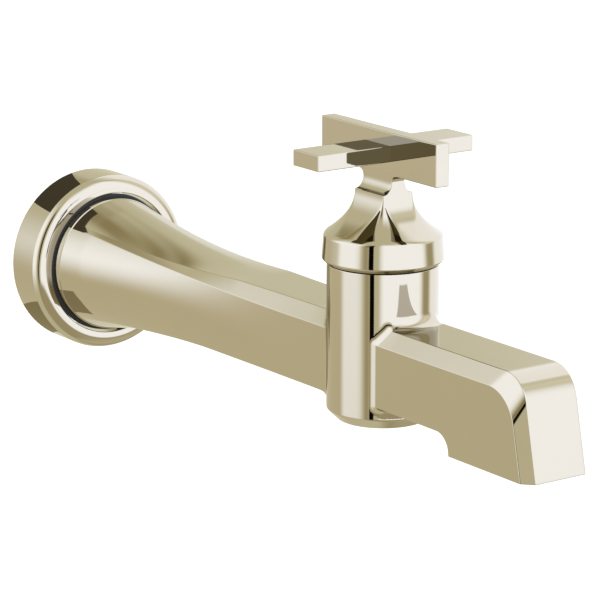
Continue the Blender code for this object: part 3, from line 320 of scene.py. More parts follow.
def arm_outlines(reach, shape):
    """Outlines of the trumpet arm at an array of reaches. Each of six corners slides from its place on the
    round end's circle to its place on the chamfered rectangle, and each side's bulge dies out in step."""
    radius = shape.arm_radius / MM
    half = shape.spout_width / MM / 2
    top, across, down = shape.spout_top / MM, shape.chamfer_across / MM, shape.chamfer_down / MM
    underside = -12.7
    tall, wide = flare(reach, 85.5, 1.6), flare(reach, 150.0, 1.6)
    top_share, side_share = flare(reach, 89.0, 1.6), flare(reach, 134.0, 1.75)
    top_angle, side_angle, lower_angle = (math.radians(a) for a in (46.2, 42.1, 48.3))
    dip = 1.5 * np.sin(math.pi * np.clip((reach - TRUMPET_REACH) / 100.0, 0, 1))
    top_x = blend(half - across, radius * math.cos(top_angle), wide)
    top_z = blend(top, radius * math.sin(top_angle), top_share) - dip
    crown = np.maximum(0, blend(top, radius, tall) - top_z)
    side_x = blend(half, radius * math.cos(side_angle), wide)
    side_z = blend(top - down, radius * math.sin(side_angle), side_share)
    lower_x = blend(half, radius * math.cos(lower_angle), wide)
    lower_z = blend(underside, -radius * math.sin(lower_angle), tall)
    side_bulge = radius * (1 - math.cos((side_angle + lower_angle) / 2)) * wide**1.3
    belly = radius * (1 - math.sin(lower_angle)) * tall
    strip = radius * (1 - math.cos((top_angle - side_angle) / 2)) * wide**6
    corners = np.stack(
        [
            np.stack([-top_x, top_z], axis=1),
            np.stack([top_x, top_z], axis=1),
            np.stack([side_x, side_z], axis=1),
            np.stack([lower_x, lower_z], axis=1),
            np.stack([-lower_x, lower_z], axis=1),
            np.stack([-side_x, side_z], axis=1),
        ],
        axis=1,
    )
    bulges = np.stack([crown, strip, side_bulge, belly, side_bulge, strip], axis=1)
    edge = shape.crisp_edge / MM
    trims = np.array([0.7, 0.7, 0.6, 1.3, 1.3, 0.6]) * edge
    return outlines(corners, bulges, trims, (27, 7, 17, 21, 17, 7))


def circle_like(outline, radius):
    """Circle (columns, 2) whose points lie at the same angles as the outline's."""
    turn = np.arctan2(outline[:, 1], outline[:, 0])
    return radius * np.stack([np.cos(turn), np.sin(turn)], axis=1)


def at_reach(outline, reach):
    """Places outlines (.., 2) of x and z at a reach, or one reach per row."""
    reach = np.broadcast_to(np.asarray(reach, float)[..., None], outline.shape[:-1])
    return np.stack([outline[..., 0], -reach, outline[..., 1]], axis=-1)


def arm_grid(shape):
    """The arm's skin from the barrel back to the wall, then its socket from the wall inwards."""
    root = AXIS_REACH - (shape.barrel_radius + shape.root_fillet) / MM - 1.5
    base, step = ARM_BACK_REACH + 18.0, 0.3
    reach = np.concatenate([np.linspace(root, 27.0, 90), np.linspace(26.0, base, 9)])
    radius = shape.arm_radius / MM
    shrink = 1 - step / radius * np.clip(1 - (reach - base) / 12.0, 0, 1)
    skin = arm_outlines(reach, shape) * shrink[:, None, None]
    fillet = root_fillet(skin[0], shape.barrel_radius / MM, shape.root_fillet / MM, -1)
    end = skin[-1]
    rim = profile(
        [
            (radius, base - 0.25, 0),
            (radius, ARM_BACK_REACH, 0.4),
            (14.3, ARM_BACK_REACH, 0.3),
            (14.3, 42.3, 0),
            (9.8, 42.3, 0),
            (9.8, 68.0, 0),
        ]
    )
    inner = np.stack([at_reach(circle_like(end, r), np.array(h)) for r, h in rim])
    return np.concatenate([fillet[::-1], at_reach(skin, reach), inner])


def nose_path(start, corner, end, radius, counts):
    """Side-view path (rows, 2) of reach and height: straight, an arc of the radius round the corner,
    straight. The arc is middle + radius (cos, sin) between its two tangent points."""
    start, corner, end = (np.array(p, float) for p in (start, corner, end))
    back = (start - corner) / np.linalg.norm(start - corner)
    ahead = (end - corner) / np.linalg.norm(end - corner)
    half = math.acos(float(back @ ahead)) / 2
    middle = corner + (back + ahead) / np.linalg.norm(back + ahead) * radius / math.sin(half)
    first = corner + back * radius / math.tan(half)
    last = corner + ahead * radius / math.tan(half)
    begin = math.atan2(*(first - middle)[::-1])
    finish = math.atan2(*(last - middle)[::-1])
    turn = np.linspace(begin, finish, counts[1])
    arc = middle + radius * np.stack([np.cos(turn), np.sin(turn)], axis=1)
    before = first + (start - first) * np.linspace(1, 0, counts[0], endpoint=False)[:, None] ** 1.6
    after = last + (end - last) * (np.linspace(0, 1, counts[2] + 1)[1:, None] ** 1.6)
    return np.concatenate([before, arc, after])


def spout_grid(shape):
    """The spout's skin from the barrel to the outlet's level face, then the aerator's bore."""
    half = shape.spout_width / MM / 2
    top, across, down = shape.spout_top / MM, shape.chamfer_across / MM, shape.chamfer_down / MM
    edge = shape.crisp_edge / MM
    underside, slope, front_chamfer, back_reach = -11.6, 0.215, 3.7, TIP_REACH - OUTLET_LENGTH
    start = AXIS_REACH + (shape.barrel_radius + shape.root_fillet) / MM + 1.0
    bottom = OUTLET_BOTTOM + edge
    counts = (9, 33, 9)
    front_corner = (TIP_REACH - slope * (top - OUTLET_BOTTOM), top)
    front_end = (TIP_REACH - slope * edge, bottom)
    front = nose_path((start, top), front_corner, front_end, 11.0, counts)
    side_corner = (TIP_REACH - front_chamfer - slope * (top - down - OUTLET_BOTTOM), top - down)
    side_end = (TIP_REACH - front_chamfer - slope * edge, bottom)
    side = nose_path((start, top - down), side_corner, side_end, 13.0, counts)
    under = nose_path((start, underside), (back_reach, underside), (back_reach, bottom), 6.6, counts)
    level = OUTLET_BOTTOM

    def loops(front, side, under):
        """Sections through one point of each path: outlines of six corners, laid on the section's slope."""
        wide = np.ones(len(front))
        corners = np.stack(
            [
                np.column_stack([-wide * (half - across), front]),
                np.column_stack([wide * (half - across), front]),
                np.column_stack([wide * half, side]),
                np.column_stack([wide * half, under]),
                np.column_stack([-wide * half, under]),
                np.column_stack([-wide * half, side]),
            ],
            axis=1,
        )
        trims = edge * np.array([0.7, 0.7, 0.6, 1.0, 1.0, 0.6])
        return straight_loops(corners, trims, (19, 5, 15, 19, 15, 5))

    skin = loops(front, side, under)
    prism = skin[0][:, [0, 2]]
    fillet = root_fillet(prism, shape.barrel_radius / MM, shape.root_fillet / MM, 1)
    body = np.stack([skin[..., 0], -skin[..., 1], skin[..., 2]], axis=-1)
    centre = np.array([0.0, -(TIP_REACH + back_reach) / 2, level])
    rim_start = body[-1]
    full = rim_start.copy()
    full[:, 2] = level
    inset = centre + (full - centre) * np.array([1 - edge / half, 1 - edge / (OUTLET_LENGTH / 2), 1.0])
    rim = eased(rim_start, full, inset, 6)[1:]
    hub = np.array([0.0, -AERATOR_REACH, 0.0])
    flat = inset - hub
    mouth = circle_like(flat[:, :2], 1.0)
    bore = profile(
        [(11.6, level, 0), (11.4, level, 0.25), (11.0, level + 0.5, 0.15), (11.0, level + 12.1, 0)]
    )
    inner = np.stack([hub + np.column_stack([mouth * r, np.full(len(mouth), h)]) for r, h in bore])
    between = inset + (inner[0] - inset) * np.array([0.06, 0.5])[:, None, None]
    return np.concatenate([fillet[::-1], body, rim, between, inner])


def straight_loops(corners, trims, counts, corner_steps=7):
    """Closed loops (rows, columns, 3) of straight sides through corners (rows, n, 3), each corner eased over
    its trim."""
    following = np.roll(corners, -1, axis=1)
    chord = np.linalg.norm(following - corners, axis=2)
    number = corners.shape[1]
    sides = []
    for i in range(number):
        start = trims[i] / chord[:, i]
        end = 1 - trims[(i + 1) % number] / chord[:, i]
        along = start[:, None] + (end - start)[:, None] * side_steps(counts[i])[None]
        sides.append(corners[:, i, None] + (following[:, i] - corners[:, i])[:, None] * along[..., None])
    loop = []
    for i in range(number):
        after = sides[(i + 1) % number]
        curve = eased(sides[i][:, -1], following[:, i], after[:, 0], corner_steps)
        loop += [sides[i], np.moveaxis(curve[1:-1], 0, 1)]
    return np.concatenate(loop, axis=1)


def flange_profile(shape):
    """Ring with a straight side, a convex shoulder that starts at a crisp crease, a flat rim a hair above
    the shoulder's end, and a straight bore. The shoulder is a Bezier curve that leans 20 degrees at the
    crease."""
    outer, front = shape.flange_radius / MM, FLANGE_FRONT_REACH
    rim, bore, side, lift = outer - 4.6, outer - 6.4, front - 3.6, 0.12
    crease, crown = np.array([outer, side]), np.array([rim, front - lift])
    lean = (crown[1] - side) * math.tan(math.radians(20.0))
    shoulder = eased(crease, np.array([outer - lean, crown[1]]), crown, 29)
    gasket_inner, gasket_outer, gasket_depth = bore + 1.4, bore + 3.6, 2.5
    back = profile(
        [
            (rim, front, 0.0),
            (bore, front, 0.35),
            (bore, 0.0, 0.2),
            (gasket_inner, 0.0, 0.15),
            (gasket_inner, gasket_depth, 0),
            (gasket_outer, gasket_depth, 0),
            (gasket_outer, 0.0, 0.15),
            (outer, 0.0, 0.2),
            (outer, side - 0.3, 0),
        ]
    )
    return np.concatenate([shoulder, back])


def barrel_profile(shape):
    """Upright barrel with a chamfered foot, open at the top for the cartridge."""
    radius = shape.barrel_radius / MM
    chamfer, low_end = 3.6, BARREL_BOTTOM
    return profile(
        [
            (2.0, low_end, 0),
            (radius - chamfer, low_end, 0.45),
            (radius, low_end + chamfer, 0.45),
            (radius, BARREL_TOP, 0.3),
            (14.8, BARREL_TOP, 0.2),
            (14.8, 24.0, 0),
            (12.3, 24.0, 0),
            (12.3, 1.2, 0),
            (2.0, 1.2, 0),
        ]
    )


def bell_rows(shape):
    """Half sizes, corner radius and height of the hub's sections from its recess up, and how square each is.
    In the bell they all follow s^2.2, where s falls from 1 at its foot to 0 at its top; the waist above it
    is an elliptical hollow on two sides, and flares out again under the standing bar on the other two."""
    radius = shape.barrel_radius / MM
    foot, top = COLLAR_BOTTOM + 10.4, COLLAR_BOTTOM + 24.2
    collar = profile(
        [
            (5.3, COLLAR_BOTTOM + 17.6, 0),
            (5.3, COLLAR_BOTTOM + 3.6, 0),
            (14.8, COLLAR_BOTTOM + 3.6, 0),
            (14.8, COLLAR_BOTTOM + 1.2, 0),
            (radius - 0.3, COLLAR_BOTTOM + 1.2, 0),
            (radius - 0.3, COLLAR_BOTTOM, 0.1),
            (radius + 0.4, COLLAR_BOTTOM, 0.12),
            (radius + 1.7, COLLAR_BOTTOM + 1.3, 0.35),
            (radius + 1.1, COLLAR_BOTTOM + 9.4, 0.5),
            (radius + 0.2, foot, 0),
        ]
    )
    rows = [(r, r, r, h, 0.0) for r, h in collar[:-1]]
    for s in np.concatenate([np.linspace(1, 0.06, 34), [0.03, 0.012, 0.0]]):
        grown = s**2.2
        half_x, half_y = blend(6.1, radius + 0.2, grown), blend(8.05, radius + 0.2, grown)
        rows.append((half_x, half_y, blend(0.3, radius + 0.2, grown), blend(top, foot, s), 1 - grown))
    waist, web = top + 4.1, 2.652
    for turn in np.radians(np.concatenate([[3.0, 7.0], np.linspace(12, 90, 13)])):
        half_x = 6.1 - (6.1 - web) * math.sin(turn)
        rows.append((half_x, 8.05, 0.3, waist - 4.1 * math.cos(turn), 1.0))
    for turn in np.radians(np.linspace(8, 90, 11)):
        rows.append((web, 8.05 + 2.25 * (1 - math.cos(turn)), 0.3, waist + 2.25 * math.sin(turn), 1.0))
    rows.append((web, 10.3, 0.3, waist + 2.6, 1.0))
    rows.append((web - 0.4, 9.9, 0.3, waist + 3.0, 1.0))
    return np.array(rows)


def hub_grid(shape):
    """Rounded rectangles at the bell's rows. A column's polar angle moves from evenly spread, where the
    section is round, to gathered at the corners, where it's square; its radius is where that ray leaves the
    outline."""
    half_x, half_y, corner, height, square = (bell_rows(shape)[:, i, None] for i in range(5))
    flat, bend = np.linspace(0, 0.24, 6), np.linspace(0.26, 0.74, 17)
    part = np.concatenate([flat, bend, np.linspace(0.76, 1, 6)])
    first = np.arctan2(half_y - corner, half_x)
    second = np.arctan2(half_y, half_x - corner)
    gathered = np.where(
        part < 0.26,
        first * part / 0.26,
        np.where(
            part < 0.74,
            first + (second - first) * (part - 0.26) / 0.48,
            second + (math.pi / 2 - second) * (part - 0.74) / 0.26,
        ),
    )
    turn = part * math.pi / 2 * (1 - square) + gathered * square
    cx, cy = half_x - corner, half_y - corner
    c, s = np.cos(turn), np.sin(turn)
    reach_out = cx * c + cy * s + np.sqrt(np.maximum(corner**2 - (cx * s - cy * c) ** 2, 0))
    reach_out = np.where(turn <= first, half_x / np.maximum(c, 1e-6), reach_out)
    reach_out = np.where(turn >= second, half_y / np.maximum(s, 1e-6), reach_out)
    x, y = reach_out * c, reach_out * s
    around_x = np.concatenate([x[:, :-1], -x[:, :0:-1], -x[:, :-1], x[:, :0:-1]], axis=1)
    around_y = np.concatenate([y[:, :-1], y[:, :0:-1], -y[:, :-1], -y[:, :0:-1]], axis=1)
    return on_valve(np.stack([around_x, around_y, np.broadcast_to(height, around_x.shape)], axis=-1))


def bar_grid(width, long, tall, edge):
    """A bar along Y with every edge rounded: a section of four eased corners carried along, with its ends
    eased in to a smaller copy of the section."""
    half = np.array([width / 2, long / 2, tall / 2])
    flat = np.array([[-half[0], half[2]], [half[0], half[2]], [half[0], -half[2]], [-half[0], -half[2]]])
    corners = np.insert(flat, 1, 0.0, axis=1)[None]
    section = straight_loops(corners, edge * np.ones(4), (13, 9, 13, 9))[0]
    end = section + np.array([0, -half[1], 0])
    small = end * np.array([1 - edge / half[0], 1.0, 1 - edge / half[2]])
    cap = eased(small, end, section + np.array([0, -half[1] + edge, 0]), 7)
    face = small * np.array([1 - 0.2 * edge / half[0], 1.0, 1 - 0.2 * edge / half[2]])
    start = np.concatenate([face[None], cap])
    places = np.concatenate([[-half[1] + 1.2 * edge], np.linspace(-half[1] + 2, half[1] - 2, 25)])
    places = np.append(places, half[1] - 1.2 * edge)
    middle = section + places[:, None, None] * np.array([0, 1.0, 0])
    return np.concatenate([start, middle, (start * np.array([1, -1, 1]))[::-1]])


def shank_grid():
    """The inlet shank as a turned shape whose bore has a pipe thread: its radius there is the bore's plus the
    thread's depth times a triangle wave of (reach / pitch - angle / 360)."""
    pitch, depth, bore, mouth = 1.814, 0.85, 10.3, 0.3
    outside = profile(
        [
            (6.5, 66.0, 0),
            (9.5, 66.0, 0.5),
            (9.5, 42.0, 0),
            (14.0, 42.0, 0.3),
            (14.0, mouth, 0.4),
            (bore + depth + 0.4, mouth, 0.2),
        ]
    )
    reach = np.arange(mouth + 0.6, 16.0, 0.16)
    thread = np.stack([np.full(len(reach), bore), reach], axis=1)
    inside = np.array([[bore, 18.0], [6.5, 18.0]])
    grid = turned(np.concatenate([outside, thread, inside]), 96)
    turn = np.linspace(0, 1, 96, endpoint=False)
    phase = (reach[:, None] / pitch - turn) % 1.0
    wave = np.clip(1.25 * (1 - np.abs(2 * phase - 1)) - 0.12, 0, 1)
    fade = np.clip((16.0 - reach) / 3.0, 0, 1)[:, None]
    growth = 1 + depth * wave * fade / bore
    first = len(outside)
    grid[first : first + len(reach), :, :2] *= growth[..., None]
    return facing_out(grid)


def wire_ring(radius, wire, reach):
    """Torus about the inlet's axis: x and z on a circle of radius + wire cos p, reach + wire sin p."""
    turn = np.linspace(0, 2 * math.pi, 120, endpoint=False)[:, None]
    bend = np.linspace(0, 2 * math.pi, 20, endpoint=False)[None]
    out = radius + wire * np.cos(bend)
    y = -(reach + wire * np.sin(bend)) + 0 * turn
    return np.stack([out * np.cos(turn), y, out * np.sin(turn)], axis=-1)


def drill(piece, start, direction, radius, deep, countersink=0.35):
    """Cuts a round hole with a small countersink into a piece, from a point in millimetres."""
    mouth = radius + 2 * countersink + 1
    corners = profile([(mouth, 2.0, 0), (radius, -countersink, 0), (radius, -deep, 0), (0.01, -deep, 0)])
    outer = np.array([[mouth, 2.5], [0.01, 2.5]])
    shape_points = turned(np.concatenate([outer[::-1], corners]), 48)
    turn = Vector(direction).to_track_quat("Z", "Y").to_matrix()
    grid = shape_points @ np.array(turn).T + np.array(start, float)
    cutter = closed_tube("drill", grid)
    cut = piece.modifiers.new("hole", "BOOLEAN")
    cut.object = cutter
    cut.operation = "DIFFERENCE"
    cut.solver = "EXACT"
    evaluated = piece.evaluated_get(bpy.context.evaluated_depsgraph_get())
    drilled = bpy.data.meshes.new_from_object(evaluated)
    piece.modifiers.clear()
    piece.data = drilled
    piece.data.shade_smooth()
    piece.data.set_sharp_from_angle(angle=math.radians(40))
    bpy.data.objects.remove(cutter, do_unlink=True)


# ---------------------------------------------------------------- materials


def node_group(name, inputs, outputs):
    """A new shader node group with sockets (name, type, default)."""
    made = bpy.data.node_groups.new(name, "ShaderNodeTree")
    for label, kind, value in inputs:
        socket = made.interface.new_socket(label, in_out="INPUT", socket_type=kind)
        if value is not None:
            socket.default_value = value
    for label, kind in outputs:
        made.interface.new_socket(label, in_out="OUTPUT", socket_type=kind)
    return made, made.nodes.new("NodeGroupInput"), made.nodes.new("NodeGroupOutput")


def noise(tree, vector, scale, detail=2.0, roughness=0.5):
    made = tree.nodes.new("ShaderNodeTexNoise")
    made.inputs["Scale"].default_value = scale
    made.inputs["Detail"].default_value = detail
    made.inputs["Roughness"].default_value = roughness
    tree.links.new(vector, made.inputs["Vector"])
    return made


def maths(tree, operation, first, second=None, third=None):
    """A Math node; each value is a number or a socket."""
    made = tree.nodes.new("ShaderNodeMath")
    made.operation = operation
    for socket, value in zip(made.inputs, (first, second, third)):
        if isinstance(value, bpy.types.NodeSocket):
            tree.links.new(value, socket)
        elif value is not None:
            socket.default_value = value
    return made.outputs[0]


def colour_mix(tree, factor, first, second, how="MIX"):
    made = tree.nodes.new("ShaderNodeMix")
    made.data_type = "RGBA"
    made.blend_type = how
    for label, value in (("Factor", factor), ("A", first), ("B", second)):
        socket = next(s for s in made.inputs if s.name == label and (label == "Factor" or s.type == "RGBA"))
        if isinstance(value, bpy.types.NodeSocket):
            tree.links.new(value, socket)
        else:
            socket.default_value = value
    return next(s for s in made.outputs if s.type == "RGBA")


def surface_group():
    """Slow change over a surface: a colour between two, a roughness about its middle and a fine relief."""
    tree, given, out = node_group(
        "surface_change",
        [
            ("Vector", "NodeSocketVector", None),
            ("Colour", "NodeSocketColor", (0.5, 0.5, 0.5, 1)),
            ("Second Colour", "NodeSocketColor", (0.4, 0.4, 0.4, 1)),
            ("Patch Scale", "NodeSocketFloat", 40.0),
            ("Fine Scale", "NodeSocketFloat", 800.0),
            ("Roughness", "NodeSocketFloat", 0.3),
            ("Roughness Change", "NodeSocketFloat", 0.1),
        ],
        [("Colour", "NodeSocketColor"), ("Roughness", "NodeSocketFloat"), ("Height", "NodeSocketFloat")],
    )
    patches = noise(tree, given.outputs["Vector"], 40.0, 4.0, 0.55)
    tree.links.new(given.outputs["Patch Scale"], patches.inputs["Scale"])
    fine = noise(tree, given.outputs["Vector"], 800.0, 3.0, 0.6)
    tree.links.new(given.outputs["Fine Scale"], fine.inputs["Scale"])
    broad = maths(tree, "MULTIPLY", patches.outputs["Fac"], 0.65)
    both = maths(tree, "ADD", broad, maths(tree, "MULTIPLY", fine.outputs["Fac"], 0.35))
    spread = tree.nodes.new("ShaderNodeMapRange")
    spread.inputs["From Min"].default_value = 0.3
    spread.inputs["From Max"].default_value = 0.7
    tree.links.new(both, spread.inputs["Value"])
    mixed = colour_mix(tree, spread.outputs[0], given.outputs["Colour"], given.outputs["Second Colour"])
    tree.links.new(mixed, out.inputs["Colour"])
    middle = maths(tree, "SUBTRACT", spread.outputs[0], 0.5)
    rough, change = given.outputs["Roughness"], given.outputs["Roughness Change"]
    tree.links.new(maths(tree, "MULTIPLY_ADD", middle, change, rough), out.inputs["Roughness"])
    tree.links.new(fine.outputs["Fac"], out.inputs["Height"])
    return tree


def lathe_group():
    """Fine rings left by a lathe: bands of noise that depend only on one axis."""
    tree, given, out = node_group(
        "lathe_rings",
        [
            ("Vector", "NodeSocketVector", None),
            ("Along", "NodeSocketVector", (0, 1, 0)),
            ("Rings", "NodeSocketFloat", 3000.0),
        ],
        [("Height", "NodeSocketFloat")],
    )
    dot = tree.nodes.new("ShaderNodeVectorMath")
    dot.operation = "DOT_PRODUCT"
    tree.links.new(given.outputs["Vector"], dot.inputs[0])
    tree.links.new(given.outputs["Along"], dot.inputs[1])
    line = tree.nodes.new("ShaderNodeCombineXYZ")
    tree.links.new(dot.outputs["Value"], line.inputs["X"])
    rings = noise(tree, line.outputs[0], 3000.0, 2.0, 0.6)
    tree.links.new(given.outputs["Rings"], rings.inputs["Scale"])
    tree.links.new(rings.outputs["Fac"], out.inputs["Height"])
    return tree


GROUPS = {}


def shared(name, build):
    """A node group built once and used by every material that asks for it."""
    if name not in GROUPS:
        GROUPS[name] = build()
    return GROUPS[name]


def finish_material(name, base, second, metallic, roughness, change, patch, fine, relief, distance):
    """A Principled material whose colour, roughness and relief come from the shared surface group."""
    made = bpy.data.materials.new(name)
    made.use_nodes = True
    tree = made.node_tree
    shader = tree.nodes["Principled BSDF"]
    shader.inputs["Metallic"].default_value = metallic
    place = tree.nodes.new("ShaderNodeTexCoord")
    group = tree.nodes.new("ShaderNodeGroup")
    group.node_tree = shared("surface_change", surface_group)
    tree.links.new(place.outputs["Object"], group.inputs["Vector"])
    group.inputs["Colour"].default_value = (*base, 1)
    group.inputs["Second Colour"].default_value = (*second, 1)
    group.inputs["Patch Scale"].default_value = patch
    group.inputs["Fine Scale"].default_value = fine
    group.inputs["Roughness"].default_value = roughness
    group.inputs["Roughness Change"].default_value = change
    tree.links.new(group.outputs["Colour"], shader.inputs["Base Color"])
    tree.links.new(group.outputs["Roughness"], shader.inputs["Roughness"])
    bump = tree.nodes.new("ShaderNodeBump")
    bump.inputs["Strength"].default_value = relief
    bump.inputs["Distance"].default_value = distance
    tree.links.new(group.outputs["Height"], bump.inputs["Height"])
    tree.links.new(bump.outputs["Normal"], shader.inputs["Normal"])
    return made


def shade_of(value, factor):
    return tuple(channel * factor for channel in value)


def nickel_material(name, finish, painted_reflection_shade):
    """Mirror-polished warm nickel. Where the faucet is seen in its own polish, glossy rays see its colour
    multiplied by the shade passed in: painted shade that makes the faucet's reflections in itself darker."""
    nickel, roughness, smudges = tuple(finish.nickel), finish.nickel_roughness, finish.smudges
    second = shade_of(nickel, 0.975)
    made = finish_material(name, nickel, second, 1.0, roughness, smudges, 18.0, 120.0, 0.004, 0.00005)
    tree = made.node_tree
    group = next(n for n in tree.nodes if n.type == "GROUP")
    path = tree.nodes.new("ShaderNodeLightPath")
    # Painted shade: glossy rays see this colour darkened by the given shade, so the faucet's reflections in
    # itself come out darker
    depth = colour_mix(tree, path.outputs["Is Glossy Ray"], (1, 1, 1, 1), (*painted_reflection_shade, 1))
    colour_with_painted_shade = colour_mix(tree, 1.0, group.outputs["Colour"], depth, "MULTIPLY")
    tree.links.new(colour_with_painted_shade, tree.nodes["Principled BSDF"].inputs["Base Color"])
    return made


def turned_metal(name, base, roughness, along):
    made = finish_material(name, base, shade_of(base, 0.86), 1.0, roughness, 0.12, 60.0, 900.0, 0.05, 0.00005)
    tree = made.node_tree
    rings = tree.nodes.new("ShaderNodeGroup")
    rings.node_tree = shared("lathe_rings", lathe_group)
    rings.inputs["Along"].default_value = along
    place = next(n for n in tree.nodes if n.type == "TEX_COORD")
    bump = next(n for n in tree.nodes if n.type == "BUMP")
    tree.links.new(place.outputs["Object"], rings.inputs["Vector"])
    second = tree.nodes.new("ShaderNodeBump")
    second.inputs["Strength"].default_value = 0.35
    second.inputs["Distance"].default_value = 0.00003
    tree.links.new(rings.outputs["Height"], second.inputs["Height"])
    tree.links.new(bump.outputs["Normal"], second.inputs["Normal"])
    tree.links.new(second.outputs["Normal"], tree.nodes["Principled BSDF"].inputs["Normal"])
    return made


def all_materials(finish):
    """Every finish by the name of the CAD material that it takes the place of."""
    brass, steel = tuple(finish.brass), tuple(finish.steel)
    rubber, foam = tuple(finish.rubber), tuple(finish.foam)
    plastic, ceramic = tuple(finish.plastic), tuple(finish.ceramic)
    glide = (0.03, 0.03, 0.028)
    return {
        # Both nickels carry painted shade where they are seen in the faucet's own polish; the handle's copy
        # is painted far darker there
        "polished_nickel": nickel_material("polished_nickel_painted_dark_in_reflections", finish, (0.55, 0.52, 0.45)),
        "handle_nickel": nickel_material("handle_nickel_painted_dark_in_reflections", finish, (0.2, 0.18, 0.12)),
        "brass": turned_metal("turned_brass", brass, 0.24, (0.0, 1.0, 0.6)),
        "stainless_steel": turned_metal("machined_steel", steel, 0.28, (0.3, 0.4, 1.0)),
        "alumina_ceramic": finish_material(
            "lapped_ceramic", ceramic, shade_of(ceramic, 0.93), 0.0, 0.16, 0.08, 90.0, 2500.0, 0.04, 0.00003
        ),
        "black_rubber": finish_material(
            "moulded_rubber", rubber, shade_of(rubber, 1.9), 0.0, 0.58, 0.2, 120.0, 1800.0, 0.2, 0.00008
        ),
        "grey_foam": finish_material(
            "closed_cell_foam", foam, shade_of(foam, 1.35), 0.0, 0.9, 0.1, 300.0, 1400.0, 0.7, 0.0003
        ),
        "white_plastic": finish_material(
            "moulded_plastic", plastic, shade_of(plastic, 0.94), 0.0, 0.36, 0.12, 70.0, 1600.0, 0.06, 0.00005
        ),
        "dark_plastic": finish_material(
            "glide_plastic", glide, (0.045, 0.043, 0.04), 0.0, 0.45, 0.15, 90.0, 1500.0, 0.08, 0.00005
        ),
    }


MATERIALS = {}


def material(context, name):
    """The finish of that name, with all of them made the first time."""
    if not MATERIALS:
        MATERIALS.update(all_materials(context.scene.faucet_finish))
    return MATERIALS[name]


def dress(context, piece, name, body, *nodes):
    """Gives a piece its material, slot and body, and hides the CAD nodes that it stands for."""
    piece.data.materials.clear()
    piece.data.materials.append(material(context, name))
    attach(piece, body)
    if nodes:
        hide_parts(*nodes)
    return piece


# ---------------------------------------------------------------- operators


class FAUCET_OT_studio(bpy.types.Operator):
    """Camera, pale floor and the soft boxes that the polish reflects"""

    bl_idname = "faucet.studio"
    bl_label = "Studio"

    def execute(self, context):
        studio = context.scene.faucet_studio
        azimuth, elevation = studio.azimuth, studio.elevation
        level = math.cos(elevation)
        back = Vector((math.sin(azimuth) * level, -math.cos(azimuth) * level, math.sin(elevation)))
        aim = Vector((36.61, -90.0, -5.286)) * MM
        data = bpy.data.cameras.new("camera")
        data.lens = studio.lens
        data.sensor_width = 36.0
        data.clip_start, data.clip_end = 0.05, 200.0
        camera = bpy.data.objects.new("camera", data)
        camera.location = aim + back * studio.distance
        camera.rotation_mode = "QUATERNION"
        camera.rotation_quaternion = (-back).to_track_quat("-Z", "Y")
        context.scene.collection.objects.link(camera)
        context.scene.camera = camera
        context.scene.world = surroundings()
        context.scene.view_settings.view_transform = "Standard"
        pale_floor(context, studio.floor_drop)
        card_behind_flange("dark_card_behind_flange", 98.0, 134.0, DARK)
        card_behind_flange("brown_card_behind_flange", 212.0, 245.0, BROWN)
        return {"FINISHED"}


def pale_floor(context, drop):
    """A wide pale floor below the faucet. The polish doesn't show it, so it reflects the soft boxes alone."""
    mesh = bpy.data.meshes.new("floor")
    half = 30.0
    corners = [(-half, -half, -drop), (half, -half, -drop), (half, half, -drop), (-half, half, -drop)]
    mesh.from_pydata(corners, [], [(0, 1, 2, 3)])
    floor = bpy.data.objects.new("floor", mesh)
    context.scene.collection.objects.link(floor)
    paper = bpy.data.materials.new("floor_paper")
    paper.use_nodes = True
    shader = paper.node_tree.nodes["Principled BSDF"]
    shader.inputs["Base Color"].default_value = (0.8, 0.8, 0.8, 1)
    shader.inputs["Roughness"].default_value = 1.0
    shader.inputs["Specular IOR Level"].default_value = 0.0
    shader.inputs["Emission Color"].default_value = (1, 1, 1, 1)
    shader.inputs["Emission Strength"].default_value = 0.4
    mesh.materials.append(paper)
    floor.visible_glossy = False


def card_behind_flange(name, first, last, tint):
    """Card in the shape of a ring's sector, a little behind the flange. Only the polish shows it. Each row of
    points lies on a circle about the inlet's axis, between two polar angles."""
    inner, outer, back, steps = 33.7, 52.0, 4.0, 25
    turn = np.radians(np.linspace(first, last, steps))
    y = np.full(steps, back)
    rows = [np.column_stack([r * np.cos(turn), y, r * np.sin(turn)]) for r in (inner, outer)]
    mesh = bpy.data.meshes.new(name)
    faces = [(i, i + 1, i + steps + 1, i + steps) for i in range(steps - 1)]
    mesh.from_pydata((np.concatenate(rows) * MM).tolist(), [], faces)
    card = bpy.data.objects.new(name, mesh)
    bpy.context.scene.collection.objects.link(card)
    paper = bpy.data.materials.new(name)
    paper.use_nodes = True
    shader = paper.node_tree.nodes["Principled BSDF"]
    shader.inputs["Base Color"].default_value = (0, 0, 0, 1)
    shader.inputs["Specular IOR Level"].default_value = 0.0
    shader.inputs["Emission Color"].default_value = (*tint, 1)
    shader.inputs["Emission Strength"].default_value = 1.0
    mesh.materials.append(paper)
    card.visible_camera = card.visible_diffuse = card.visible_shadow = False


# Light of the boxes, flags and cards, stronger and bluer than the tones that warm nickel turns it into
WHITE, CREAM = (1.42, 1.50, 1.76), (1.27, 1.32, 1.46)
SAND, TAN, CLAY = (1.0, 0.98, 0.88), (0.735, 0.711, 0.55), (0.7, 0.645, 0.48)
UMBER, OCHRE = (0.49, 0.436, 0.289), (0.384, 0.333, 0.182)
BROWN, DARK = (0.31, 0.262, 0.15), (0.075, 0.065, 0.045)
PAPER, BLACK = (0.65, 0.61, 0.46), (0.004, 0.003, 0.002)

